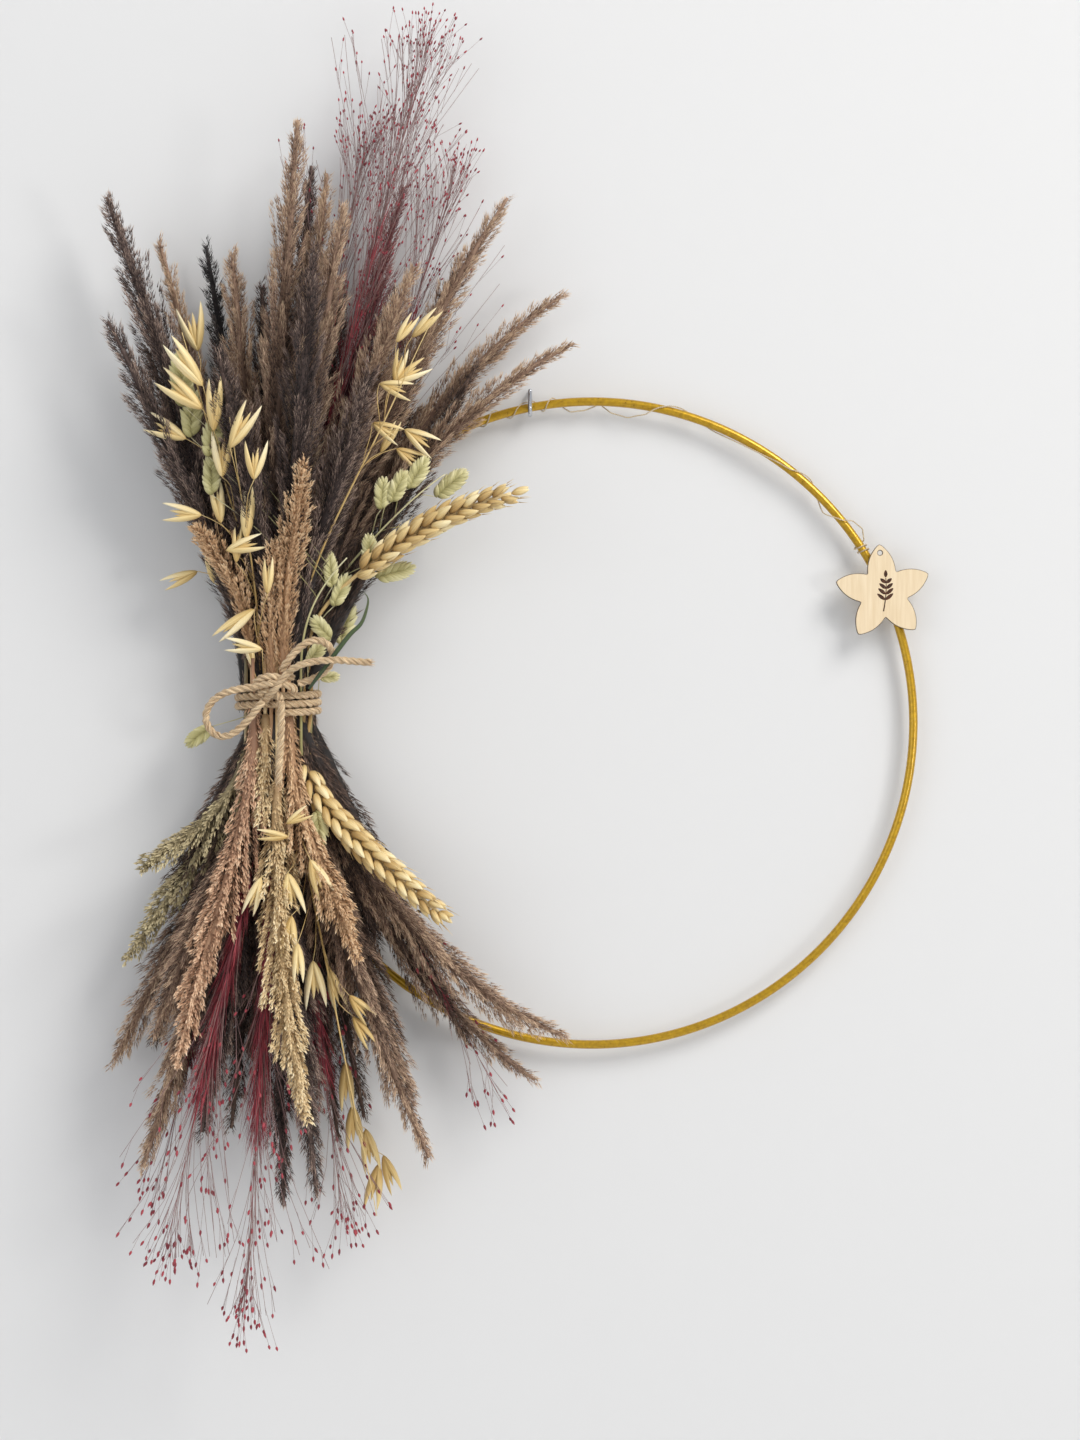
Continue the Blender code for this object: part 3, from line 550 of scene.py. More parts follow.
hole = hole_at + (TAG_HOLE_RADIUS + TAG_BEVEL) * np.stack([np.cos(round_hole), -np.sin(round_hole)], 1)
curve = bpy.data.curves.new("tag", "CURVE")
curve.dimensions = "2D"
curve.fill_mode = "BOTH"
curve.extrude = TAG_THICK / 2 - TAG_BEVEL
curve.bevel_depth = TAG_BEVEL
curve.bevel_resolution = 1
for loop in (outline * (1 - TAG_BEVEL / TAG_TIP_RADIUS), hole):
    spline = curve.splines.new("POLY")
    spline.points.add(len(loop) - 1)
    spline.points.foreach_set("co", np.c_[loop, 0 * loop[:, 0], 1 + 0 * loop[:, 0]].ravel())
    spline.use_cyclic_u = True
tag = bpy.data.objects.new("tag_flower", curve)
bpy.context.scene.collection.objects.link(tag)
tag.location = tag_at
tag.rotation_euler = (math.pi / 2, 0, 0)
tag_mat, tree, shader = new_material("birch", (0.94, 0.87, 0.76), roughness=0.62)
coords = put(tree, "TexCoord")
squeeze = put(tree, "VectorMath", {0: coords.outputs["Object"], 1: GRAIN_SCALE}, operation="MULTIPLY")
grain = put(tree, "TexNoise", {"Vector": squeeze.outputs[0], "Scale": 1.0, "Detail": 4.0})
wood = mix_colours(tree, grain.outputs[0], (0.84, 0.74, 0.58), (0.95, 0.88, 0.76))
apart = put(tree, "SeparateXYZ", {0: coords.outputs["Normal"]})
level = put(tree, "Math", {0: apart.outputs["Z"]}, operation="ABSOLUTE")
burn = put(tree, "MapRange", {"Value": level.outputs[0], "From Min": 0.97, "From Max": 0.75, "To Max": 0.92})
burnt = mix_colours(tree, burn.outputs[0], wood, (0.17, 0.09, 0.05))
tree.links.new(burnt, shader.inputs["Base Color"])
add_bump(tree, shader, grain.outputs[0], 0.00006)
curve.materials.append(tag_mat)
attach(tag, "wreath")
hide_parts("flower_tag")
HUSK_SHARES = (0.0, 0.07, 0.2, 0.38, 0.56, 0.74, 0.9, 1.0)  # of its length, where its rings are


def add_husks(heap, root, way, facing, length, width, thick, tone, bow=0.0, fullest=0.85, back=0.35,
              shares=HUSK_SHARES, sides=8):
    """Closed pointed husks: round in front, flatter behind, and bowed by a share of their length."""
    shares = np.array(shares)
    count = len(root)
    body = 0.05 + 0.95 * np.sin(math.pi * shares**fullest).clip(0) ** 0.75
    around = math.tau * np.arange(sides) / sides
    across = np.cos(around)
    front = np.where(np.sin(around) > 0, 1.0, back) * np.sin(around)
    side = unit(np.cross(way, facing))
    face = np.cross(side, way)
    sizes = (length, width, thick)
    length, width, thick = (np.broadcast_to(x, count)[:, None, None, None] for x in sizes)
    along = shares[None, :, None, None]
    swell = body[None, :, None, None] / 2
    forward = thick * swell * front[:, None] + bow * length * along * (1 - along) * 4
    points = (root[:, None, None] + way[:, None, None] * length * along
              + side[:, None, None] * width * swell * across[:, None] + face[:, None, None] * forward)
    quads = grid_faces(len(shares), sides)
    size = len(shares) * sides
    start = size * np.arange(count)[:, None, None]
    caps = np.stack([np.arange(sides)[::-1], size - sides + np.arange(sides)])
    place = mark(np.asarray(tone)[:, None, None], (np.arange(sides) / sides)[None, None],
                 np.linspace(0.01, 0.99, len(shares))[None, :, None])
    heap.add(points, (start + quads).reshape(-1, 4), place)
    heap.faces.append((start + caps).reshape(-1, sides) + heap.count - size * count)


SPRIG_FOOT = -0.0085  # below the tag's centre
SPRIG_HEIGHT = 0.0155
SPRIG_SUNK = 0.00002
LEAVES = (0.0050, 0.0050, 0.0047, 0.0047, 0.0042, 0.0042, 0.0036, 0.0036, 0.0036)  # their lengths
LEAF_WIDTH = 0.0019
LEAF_THICK = 0.00016
heap = Heap()
sprig = np.linspace(0, 1, 7)
sprig_line = np.stack([0.0012 * np.sin(2.2 * sprig), 0 * sprig, SPRIG_FOOT + SPRIG_HEIGHT * sprig], 1)
sprig_line += tag_at - (0, TAG_THICK / 2 - SPRIG_SUNK, 0)
add_tube(heap, sprig_line, np.linspace(0.0003, 0.00016, 7), 6, 0.2)
roots = np.concatenate([np.repeat(sprig_line[2:6], 2, 0), sprig_line[-1:]])
leaf_turn = np.array([-52, 50] * 4) * math.pi / 180
ways = np.stack([np.sin(leaf_turn), 0 * leaf_turn, np.cos(leaf_turn)], 1)
ways = np.concatenate([ways, [(0.0, 0.0, 1.0)]])
facing = np.tile((0.0, -1.0, 0.0), (len(LEAVES), 1))
add_husks(heap, roots, ways, facing, LEAVES, LEAF_WIDTH, LEAF_THICK, np.full(len(LEAVES), 0.3))
burnt_mat, tree, shader = new_material("burnt_birch", (0.22, 0.12, 0.07), roughness=0.8)
coords = put(tree, "TexCoord").outputs["Object"]
char = put(tree, "TexNoise", {"Vector": coords, "Scale": 1500.0, "Detail": 3.0})
two_tone(tree, shader, char.outputs[0], (0.13, 0.07, 0.04), (0.36, 0.21, 0.12))
make_piece("tag_sprig", heap, burnt_mat, "wreath")

# Hot glue: one cloudy blob behind the tag, melted on, that grips the wire. It has no finer shape
# than the CAD model's own solid, so it is that solid in a better material.
glue_mat, tree, shader = new_material(
    "clear_glue", (0.90, 0.87, 0.78), roughness=0.22, Transmission_Weight=0.35, Subsurface_Weight=0.2)
coords = put(tree, "TexCoord").outputs["Object"]
waves = put(tree, "TexNoise", {"Vector": coords, "Scale": 320.0, "Detail": 2.0})
two_tone(tree, shader, waves.outputs[0], (0.84, 0.80, 0.69), (0.95, 0.93, 0.87))
add_bump(tree, shader, waves.outputs[0], 0.0004)
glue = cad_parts["glue_saddle"]
glue.data.materials.clear()
glue.data.materials.append(glue_mat)

# Jute wraps and knot: the same jute as the bow goes three times round the stems and the wire,
# then crosses itself in front, where the bow's knot lies over the turns.
WAIST_HALF_WIDTH = 0.0158
WAIST_HALF_DEPTH = 0.0125
WAIST_SQUARENESS = 2.7
WRAP_OUT = 0.00245  # rope's centre outside the stems
WRAP_CLIMB = 0.0038
WRAP_TURNS = 3
WRAP_OFF_WALL = 0.0003  # its fibres lie flat there
WAIST_INSIDE = 0.0167  # the stems' middle, behind the front of the turns
WAIST_STEPS = 240  # round the waist
wraps_low, wraps_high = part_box("jute_wraps")
waist = np.array((
    (wraps_low.x + wraps_high.x) / 2, wraps_low.y + WAIST_INSIDE, (wraps_low.z + wraps_high.z) / 2))
angle = np.linspace(0, math.tau, WAIST_STEPS + 1)[:-1]
outward = np.stack([np.sin(angle), -np.cos(angle)], 1)
waist_size = (WAIST_HALF_WIDTH + WRAP_OUT, WAIST_HALF_DEPTH + WRAP_OUT)
about_stems = np.sign(outward) * np.abs(outward) ** (2 / WAIST_SQUARENESS) * waist_size
wire_x = hoop_centre.x - math.sqrt(hoop_radius**2 - (waist[2] - hoop_centre.z) ** 2)
about_wire = np.array((wire_x, hoop_centre.y)) - waist[:2] + (hoop_wire / 2 + WRAP_OUT) * outward
# The jute is pulled tight, so it lies where a taut band round both the stems and the wire would.
reach = (np.concatenate([about_stems, about_wire]) @ np.stack([np.sin(angle), -np.cos(angle)])).max(0)
slope = np.gradient(np.concatenate([reach[-2:], reach, reach[:2]]), angle[1])[2:-2]
band = reach[:, None] * outward
band += slope[:, None] * np.stack([np.cos(angle), np.sin(angle)], 1)
steps = np.arange(0, WAIST_STEPS * WRAP_TURNS + 1, 6)
wrap_line = np.c_[band[steps % WAIST_STEPS], WRAP_CLIMB * (steps / WAIST_STEPS - WRAP_TURNS / 2)] + waist
heap = Heap()
add_rope(heap, wrap_line, JUTE, JUTE_TURN, fuzz=1500)
heap.points = [np.minimum(points, (1.0, -WRAP_OFF_WALL, 1.0)) for points in heap.points]
make_piece("waist_wraps", heap, jute_mat, "bundle", ["jute_wraps"])
KNOT_ROUTES = (  # from the knot's centre
    ((-0.0112, 0.0002, -0.0012), (-0.0060, -0.0010, 0.0004), (-0.0008, -0.0022, 0.0012),
     (0.0044, -0.0020, 0.0006), (0.0082, -0.0004, -0.0008), (0.0090, 0.0022, -0.0030)),
    ((0.0086, 0.0022, 0.0042), (0.0040, -0.0002, 0.0032), (-0.0010, -0.0012, 0.0042),
     (-0.0060, -0.0002, 0.0034), (-0.0096, 0.0022, 0.0008)),
    ((-0.0052, 0.0022, -0.0072), (-0.0022, 0.0000, -0.0040), (0.0012, -0.0030, 0.0000),
     (0.0040, -0.0032, 0.0036), (0.0066, -0.0028, 0.0062)),
    ((0.0030, -0.0006, -0.0066), (0.0014, 0.0004, -0.0038), (-0.0030, 0.0010, -0.0022),
     (-0.0074, 0.0026, -0.0036)),
)
heap = Heap()
for route in KNOT_ROUTES:
    add_rope(heap, knot_centre + np.array(route), JUTE, JUTE_TURN, fuzz=1800)
make_piece("knot_turns", heap, jute_mat, "bundle", ["bow_knot"])

# Soft plumes: dried grass heads, each a stalk with many side branchlets full of fine hair, which
# is dark at its root and paler at its tip: partly its own colour, partly painted shade deep in the
# head and a painted sheen at the tips. Brown, dark, black and maroon ones fill the bundle.
TAIL = 0.016  # the stem runs on past the waist to its cut end
BARE = 0.002  # least bare stem above the waist
STEM_RADIUS = 0.0009
WALL_CLEAR = 0.0018
FOREMOST = cad_low.y - 0.009  # no grass stands further forward than this
CUT_AT = 0.010  # visible part of the cut end
FREE_AT = 0.050  # nearer the waist than this the heads are pressed together
PLUMES = {  # half width of each
    "brown_plume_1": 0.0106, "brown_plume_2": 0.0129, "brown_plume_3": 0.0146, "brown_plume_4": 0.0134,
    "brown_plume_5": 0.0134, "brown_plume_6": 0.0129, "brown_plume_7": 0.0129, "brown_plume_8": 0.0123,
    "brown_plume_9": 0.0106, "brown_plume_11": 0.0129, "brown_plume_12": 0.0140, "brown_plume_13": 0.0140,
    "brown_plume_14": 0.0129, "brown_plume_15": 0.0118, "brown_plume_17": 0.0134,
    "dark_plume_1": 0.0151, "dark_plume_2": 0.0129, "dark_plume_3": 0.0129, "dark_plume_4": 0.0134,
    "dark_plume_5": 0.0140, "dark_plume_6": 0.0140, "dark_plume_7": 0.0129, "dark_plume_8": 0.0140,
    "dark_plume_9": 0.0129, "dark_plume_10": 0.0129, "black_plume_1": 0.0106, "maroon_plume_1": 0.0125,
}
HAIR_DENSITY = 5.8e6  # hairs for each square metre of a plume's outline
HAIR = 0.0046
HAIR_WIDTH = 0.00042
STEM_STEP = 0.002  # between the points of a stem's line
# The hair's dark roots are partly its own colour and partly painted shade deep in the head; its pale tips are
# partly a painted sheen.
PLUME_SHADES = {  # from the hair's root to its tip
    "brown_plume": ((0.19, 0.14, 0.11), (0.44, 0.34, 0.28), (0.68, 0.56, 0.47), (0.90, 0.79, 0.66)),
    "dark_plume": ((0.07, 0.05, 0.05), (0.22, 0.17, 0.16), (0.43, 0.35, 0.32), (0.77, 0.67, 0.60)),
    "black_plume": ((0.05, 0.05, 0.05), (0.12, 0.11, 0.12), (0.22, 0.20, 0.20), (0.44, 0.40, 0.38)),
    "maroon_plume": ((0.16, 0.07, 0.08), (0.38, 0.19, 0.21), (0.56, 0.34, 0.34), (0.76, 0.56, 0.52)),
}
# How much paler a head gets towards its tip.
PLUME_TIP_TONES = {"brown_plume": 0.40, "dark_plume": 0.12, "black_plume": 0.0, "maroon_plume": 0.2}
strand_marks, given, result = new_group("strand_marks", {}, ["Tone", "Along"])
place = put(strand_marks, "UVMap", uv_map=MAP)
apart = put(strand_marks, "SeparateXYZ", {0: place.outputs[0]})
column = put(strand_marks, "Math", {0: apart.outputs["X"], 1: float(COLUMNS)}, operation="MULTIPLY")
whole = put(strand_marks, "Math", {0: column.outputs[0]}, operation="FLOOR")
tone = put(strand_marks, "Math", {0: whole.outputs[0], 1: float(COLUMNS - 1)}, operation="DIVIDE")
strand_marks.links.new(tone.outputs[0], result.inputs["Tone"])
strand_marks.links.new(apart.outputs["Y"], result.inputs["Along"])


def grass_material(name, shades, roughness=0.75, tone_share=0.5, streaks=0.0, spread_to=0.92):
    """Its colour runs through the shades from the strand's root to its tip, and with its tone."""
    mat, tree, shader = new_material(name, shades[1], roughness, Sheen_Weight=0.12, Sheen_Roughness=0.5)
    marks = put(tree, "Group", node_tree=strand_marks)
    tone = put(tree, "Math", {0: marks.outputs["Tone"], 1: tone_share}, operation="MULTIPLY")
    # The strand's place from root to tip moves the colour from dark to pale. On the soft plumes' hair this is
    # partly painted shade at the roots and a painted sheen at the tips.
    value = put(tree, "Math", {
        0: marks.outputs["Along"], 1: 1 - tone_share, 2: tone.outputs[0]}, operation="MULTIPLY_ADD")
    if streaks:
        fibres = put(tree, "Group", node_tree=fibre_streaks)
        fibres.inputs["Across Scale"].default_value = 16.0 * COLUMNS
        fibres.inputs["Along Scale"].default_value = 1.5
        value = put(tree, "Math", {
            0: fibres.outputs[0], 1: streaks, 2: value.outputs[0]}, operation="MULTIPLY_ADD")
        value = put(tree, "Math", {0: value.outputs[0], 1: streaks / 2}, operation="SUBTRACT")
        add_bump(tree, shader, fibres.outputs[0], 0.0003)
    ramp = put(tree, "ValToRGB", {0: value.outputs[0]})
    for _ in shades[2:]:
        ramp.color_ramp.elements.new(0.5)
    spread = np.linspace(0.08, spread_to, len(shades))
    for element, at, shade in zip(ramp.color_ramp.elements, spread, shades):
        element.position = at
        element.color = (*from_srgb(shade), 1)
    tree.links.new(ramp.outputs[0], shader.inputs["Base Color"])
    return mat


def even_line(line):
    """The same line with its points the same distance apart."""
    along = lengths_along(line)
    at = np.linspace(0, along[-1], 1 + max(8, round(along[-1] / STEM_STEP)))
    return np.stack([np.interp(at, along, line[:, i]) for i in range(3)], 1)


def stem_line(name):
    """The middle of a CAD stem, from its cut end through the waist to its tip."""
    points = np.array([v.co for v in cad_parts[name].data.vertices])
    height = points[:, 2] - waist[2]
    scale = np.abs(height).max()
    steps = np.linspace(height.min(), height.max(), 300) / scale
    line = np.stack([np.polyval(np.polyfit(height / scale, points[:, i], 6), steps) for i in range(3)], 1)
    if -height.min() > height.max():
        line = line[::-1]
    return even_line(line)


def at_lengths(line, where):
    """Places, tangents and two directions across the line, at these lengths along it."""
    along = lengths_along(line)
    tangents = unit(np.gradient(line, axis=0))
    place = np.stack([np.interp(where, along, line[:, i]) for i in range(3)], 1)
    tangent = unit(np.stack([np.interp(where, along, tangents[:, i]) for i in range(3)], 1))
    side = unit(np.cross(tangent, (0.0, 1.0, 0.0)))
    return place, tangent, side, np.cross(tangent, side)


FRONT_CELL = 0.004
front = {}


def note_front(points):
    """Keeps how far forward the bundle reaches in each small square, for what lies on it. Every
    seventh point is enough."""
    cells = np.floor(points[:, [0, 2]] / FRONT_CELL).astype(int)
    for x, z, y in zip(cells[::7, 0], cells[::7, 1], points[::7, 1]):
        front[x, z] = min(front.get((x, z), 0.0), y)


def front_at(x, z):
    """How far forward the bundle is here: the fourth furthest of nine squares, past stray hairs."""
    cell_x, cell_z = math.floor(x / FRONT_CELL), math.floor(z / FRONT_CELL)
    near = [front.get((cell_x + i, cell_z + k), -0.02) for i in (-1, 0, 1) for k in (-1, 0, 1)]
    return sorted(near)[3]


def add_plume(heap, line, full, density=HAIR_DENSITY, head=1.0, hair=HAIR, width=HAIR_WIDTH, tufts=115,
              lean=(9, 18), fold=0.0, spread=0.13, flare=0.4, belly=0.0, core=0.3, tip_tone=0.1,
              bare_tone=0.4, core_shade_tone=0.0, tone_shift=0.0):
    """A head on the line's last part: side branchlets that lean out to its half width, hair along
    each of them, a core that closes it up, and a bare stem below. The head isn't longer than fits."""
    total = lengths_along(line)[-1]
    head = min(head, total - TAIL - BARE)
    # Branchlets, by their share of the way up the head.
    share = (np.arange(tufts) + rng.uniform(0, 1, tufts)) / tufts
    where = total - head + share * head * 0.97
    crowd = (0.36 + 0.64 * (where - TAIL) / FREE_AT).clip(0, 1)
    envelope = np.minimum(1, (share + 0.04) / 0.14) ** 0.6 * crowd * (1 - 0.9 * share**2)
    count = int(density * head * full)
    root, tangent, side, depth = at_lengths(line, where)
    turn = 2.4 * np.arange(tufts) + rng.uniform(-0.5, 0.5, tufts)
    out = side * np.cos(turn)[:, None] + depth * np.sin(turn)[:, None]
    angle = np.radians(rng.uniform(*lean, tufts))
    way = unit(tangent * np.cos(angle)[:, None] + out * np.sin(angle)[:, None])
    reach = full * envelope * rng.uniform(0.7, 1.08, tufts) / np.sin(angle)
    reach = np.minimum(reach, total - where + hair * 0.4)
    # Hair, each on one branchlet and part of the way out along it. It stays between the wall and
    # the foremost place.
    pick = rng.choice(tufts, count, p=reach / reach.sum())
    at = rng.uniform(0, 1, count) ** 0.85
    base = root[pick] + way[pick] * (reach[pick] * at)[:, None] + scatter(count, full * 0.05)
    hair_way = unit(way[pick] + out[pick] * flare + scatter(count, spread))
    long = hair * rng.uniform(0.6, 1.15, count) * (1 - 0.3 * share[pick])
    tip = base[:, 1] + long * hair_way[:, 1]
    base[:, 1] -= np.maximum(0, np.maximum(tip, base[:, 1]) + WALL_CLEAR)
    base[:, 1] += np.maximum(0, FOREMOST - np.minimum(tip, base[:, 1]))
    # Tone: random per tuft and per hair, and paler towards the head's tip, which is the grass's own colour.
    # Painted shade darkens the hair nearer the stalk, deep in the head.
    tone_and_shade = (rng.uniform(0.12, 0.58, tufts) + tip_tone * share**2)[pick] + 0.5 * (at - 0.45)
    tone_and_shade += tone_shift + 0.13 * rng.standard_normal(count)
    facing = out[pick] + scatter(count, 0.5) - (0, 0.3, 0)
    add_strands(heap, base, hair_way, long, width * rng.uniform(0.7, 1.3, count), facing,
                tone_and_shade.clip(0, 0.999), fold=fold, belly=belly)
    note_front(base)
    # The bare stem, and the core inside the head, whose dark tone is painted shade in the head's middle.
    along = lengths_along(line)
    up = ((along - total + head) / head).clip(0, 1)
    radii = STEM_RADIUS * (1 - 0.45 * up) + full * core * np.minimum(1, up / 0.14) ** 0.7 * (1 - up) ** 0.7
    bare = (along < total - head + 0.004) & (along > TAIL - CUT_AT)
    add_tube(heap, line[bare], STEM_RADIUS, 6, bare_tone)
    inner = along >= total - head + 0.002
    add_tube(heap, line[inner][:-2], radii[inner][:-2], 6, core_shade_tone)


plume_mats = {name: grass_material(name, shades, spread_to=0.78) for name, shades in PLUME_SHADES.items()}
for name, full in PLUMES.items():
    heap = Heap()
    kind = name.rsplit("_", 1)[0]
    add_plume(heap, stem_line(name), full, tip_tone=PLUME_TIP_TONES[kind],
              tone_shift=rng.uniform(-0.13, 0.13))
    make_piece(name + "_grass", heap, plume_mats[kind], "bundle", [name])

# Filler plumes: shorter dark heads of the same dried grass, tied in behind and between the others
# at the waist. They close the bundle up, and only parts of them show. Their dark colour is partly
# the grass's own and partly painted shade for the gaps between the other heads.
FILLERS = (  # tip's X and Z from the waist, depth from the waist's, and half width
    (-0.062, 0.165, 0.004, 0.0115), (-0.045, 0.125, -0.004, 0.0110), (-0.014, 0.150, 0.004, 0.0120),
    (0.004, 0.185, -0.006, 0.0115), (0.030, 0.195, 0.006, 0.0120), (0.055, 0.190, 0.000, 0.0115),
    (0.082, 0.200, 0.004, 0.0110), (0.092, 0.155, -0.004, 0.0105), (0.018, 0.125, 0.000, 0.0115),
    (-0.030, 0.095, 0.000, 0.0110), (0.042, 0.115, -0.004, 0.0110), (0.062, 0.125, 0.004, 0.0100),
    (-0.058, -0.160, 0.004, 0.0115), (-0.034, -0.190, 0.000, 0.0120), (-0.008, -0.195, 0.004, 0.0120),
    (0.016, -0.200, -0.002, 0.0120), (0.040, -0.195, 0.002, 0.0120), (0.062, -0.185, -0.002, 0.0110),
    (0.088, -0.160, 0.004, 0.0105), (-0.014, -0.130, -0.006, 0.0115), (0.028, -0.130, -0.005, 0.0110),
    (-0.038, -0.105, -0.004, 0.0105), (0.046, -0.110, -0.004, 0.0105), (0.004, -0.090, -0.007, 0.0100),
    (-0.022, 0.055, -0.004, 0.0090), (-0.008, 0.062, -0.005, 0.0095), (0.008, 0.068, -0.005, 0.0095),
    (-0.022, -0.200, 0.002, 0.0120), (-0.046, -0.182, -0.002, 0.0115), (0.028, -0.205, 0.000, 0.0110),
    (-0.012, -0.165, -0.008, 0.0115), (0.010, -0.165, -0.008, 0.0115), (0.050, -0.165, -0.004, 0.0110),
    (0.022, 0.056, -0.004, 0.0090), (0.033, 0.060, -0.003, 0.0090), (-0.024, -0.056, -0.004, 0.0090),
    (-0.010, -0.064, -0.005, 0.0095), (0.010, -0.066, -0.005, 0.0095), (0.024, -0.058, -0.004, 0.0090),
    (-0.050, -0.088, -0.002, 0.0100), (-0.038, -0.070, -0.004, 0.0095), (0.044, -0.078, -0.004, 0.0100),
)
WAIST_SHARE = 0.12  # of its tip's X, where a stem passes the waist
SPRAY_BEND = 1.1
WAIST_REACH = np.array((0.011, 0.009))  # how far from the waist's middle its stems lie, in X and Y


def spray_line(x, z, depth):
    """A stem's line from the waist to a tip at X and Z from the waist, and depth from its Y."""
    share = np.linspace(-TAIL / abs(z), 1, 60)[:, None]
    lean = np.where(share > 0, share, 0) ** SPRAY_BEND
    start = np.array((*np.clip((x * WAIST_SHARE, depth), -WAIST_REACH, WAIST_REACH), 0.0))
    end = np.array((x, depth, z))
    return even_line(waist + start * (1 - lean) + end * lean * (1, 1, 0) + np.array((0, 0, z)) * share)


# Dark shades: partly the grass's own colour, partly painted shade for the gaps between heads.
FILLER_SHADES = ((0.09, 0.06, 0.05), (0.23, 0.17, 0.14), (0.40, 0.31, 0.26), (0.66, 0.55, 0.47))
FILLER_DENSITY = 3.8e6
filler_mat = grass_material("filler_plume", FILLER_SHADES, spread_to=0.82)
for side_name, sign in (("up", 1), ("down", -1)):
    heap = Heap()
    for x, z, depth, full in FILLERS:
        if z * sign > 0:
            add_plume(heap, spray_line(x, z, depth), full, FILLER_DENSITY, tufts=90)
    make_piece("filler_plumes_" + side_name, heap, filler_mat, "bundle")

# Seed plumes: tan, cream, pink and green heads of small creased spikelets. The spikelets sit
# close together on side branchlets, and those stand a little apart from each other.
SEED_PLUMES = {  # head's length and half width
    "tan_plume_1": (0.108, 0.0092), "tan_plume_2": (0.070, 0.0080), "tan_plume_3": (0.074, 0.0088),
    "pink_plume_1": (0.180, 0.0110), "pink_plume_2": (0.130, 0.0108),
    "cream_plume_1": (0.165, 0.0115), "cream_plume_2": (0.052, 0.0080),
    "green_plume_1": (0.115, 0.0088), "green_plume_2": (0.078, 0.0084),
}
SEED_DENSITY = 4.2e6
SPIKELET = 0.0036
SPIKELET_WIDTH = 0.0009
SEED_SHADES = {
    "tan_plume": ((0.50, 0.36, 0.26), (0.76, 0.60, 0.44), (0.90, 0.76, 0.59), (0.98, 0.89, 0.75)),
    "pink_plume": ((0.44, 0.31, 0.23), (0.72, 0.55, 0.43), (0.88, 0.73, 0.59), (0.97, 0.88, 0.76)),
    "cream_plume": ((0.54, 0.42, 0.28), (0.82, 0.70, 0.51), (0.95, 0.86, 0.68), (1.00, 0.96, 0.84)),
    "green_plume": ((0.38, 0.34, 0.24), (0.60, 0.54, 0.40), (0.77, 0.71, 0.55), (0.91, 0.87, 0.71)),
}
seed_mats = {name: grass_material(name, shades, roughness=0.6) for name, shades in SEED_SHADES.items()}
for name, (head, full) in SEED_PLUMES.items():
    heap = Heap()
    # The seed heads' cores also get a darker tone: painted shade inside the heads.
    add_plume(heap, stem_line(name), full, SEED_DENSITY, head, hair=SPIKELET, width=SPIKELET_WIDTH,
              tufts=90, lean=(10, 17), fold=0.35, spread=0.16, flare=0.35, belly=0.4, core=0.2,
              bare_tone=0.3, core_shade_tone=0.3)
    kind = name.rsplit("_", 1)[0]
    shade = "tan_plume" if name == "pink_plume_2" else kind  # the paler of the two pink ones
    make_piece(name + "_grass", heap, seed_mats[shade], "bundle", [name])

# Wheat: two ripe ears. On each, plump grains in their husks sit in a herringbone up a flat
# stalk, and most husks end in a short awn.
WHEAT_EARS = {"wheat_ear_1": 0.088, "wheat_ear_2": 0.100}  # their lengths
WHEAT_STEP = 0.0035  # along the ear, from one side's grains to the other's
GRAIN = 0.0120
GRAIN_WIDTH = 0.0047
GRAIN_THICK = 0.0044
WHEAT_SHADES = ((0.44, 0.32, 0.17), (0.74, 0.60, 0.36), (0.89, 0.78, 0.54), (0.98, 0.92, 0.74))
wheat_mat = grass_material("wheat_ear", WHEAT_SHADES, roughness=0.45, tone_share=0.45, streaks=0.5)
for name, ear in WHEAT_EARS.items():
    heap = Heap()
    line = stem_line(name)
    total = lengths_along(line)[-1]
    add_tube(heap, line[:-3], STEM_RADIUS, 8, 0.5)
    where = np.arange(total - ear, total - 0.008, WHEAT_STEP)
    root, tangent, side, depth = at_lengths(line, where)
    hand = np.where(np.arange(len(where)) % 2, 1.0, -1.0)[:, None]
    taper = 0.66 + 0.34 * np.sin(math.pi * np.linspace(0.15, 0.97, len(where)))
    toward = -depth * np.sign(depth[:, 1:2])
    for lean_side, lean_front in ((0.50, 0.04), (0.27, 0.33), (0.27, -0.33)):
        way = unit(tangent + side * hand * lean_side + toward * lean_front + scatter(len(where), 0.04))
        base = root + side * hand * 0.0008 + toward * lean_front * 0.0030
        face = unit(side * hand * 0.6 + toward * (1 if lean_front > 0 else -1) * 0.8)
        tones = rng.uniform(0.1, 0.95, len(where))
        add_husks(heap, base, way, face, GRAIN * taper, GRAIN_WIDTH * taper, GRAIN_THICK * taper, tones,
                  bow=0.06, fullest=0.72, back=0.8)
        ends = base + way * (0.0118 * taper)[:, None]  # the awns start just inside the husks' tips
        add_strands(heap, ends, unit(way + tangent * 0.6), rng.uniform(0.003, 0.008, len(where)), 0.0005,
                    face, tones, belly=0.1)
    tip_way = unit(tangent[-1:] + scatter(3, 0.2))
    add_husks(heap, np.repeat(line[-4:-3], 3, 0), tip_way, np.tile(toward[-1:], (3, 1)),
              0.0085, 0.0032, 0.003, rng.uniform(0.3, 0.9, 3))
    make_piece(name + "_grains", heap, wheat_mat, "bundle", [name])

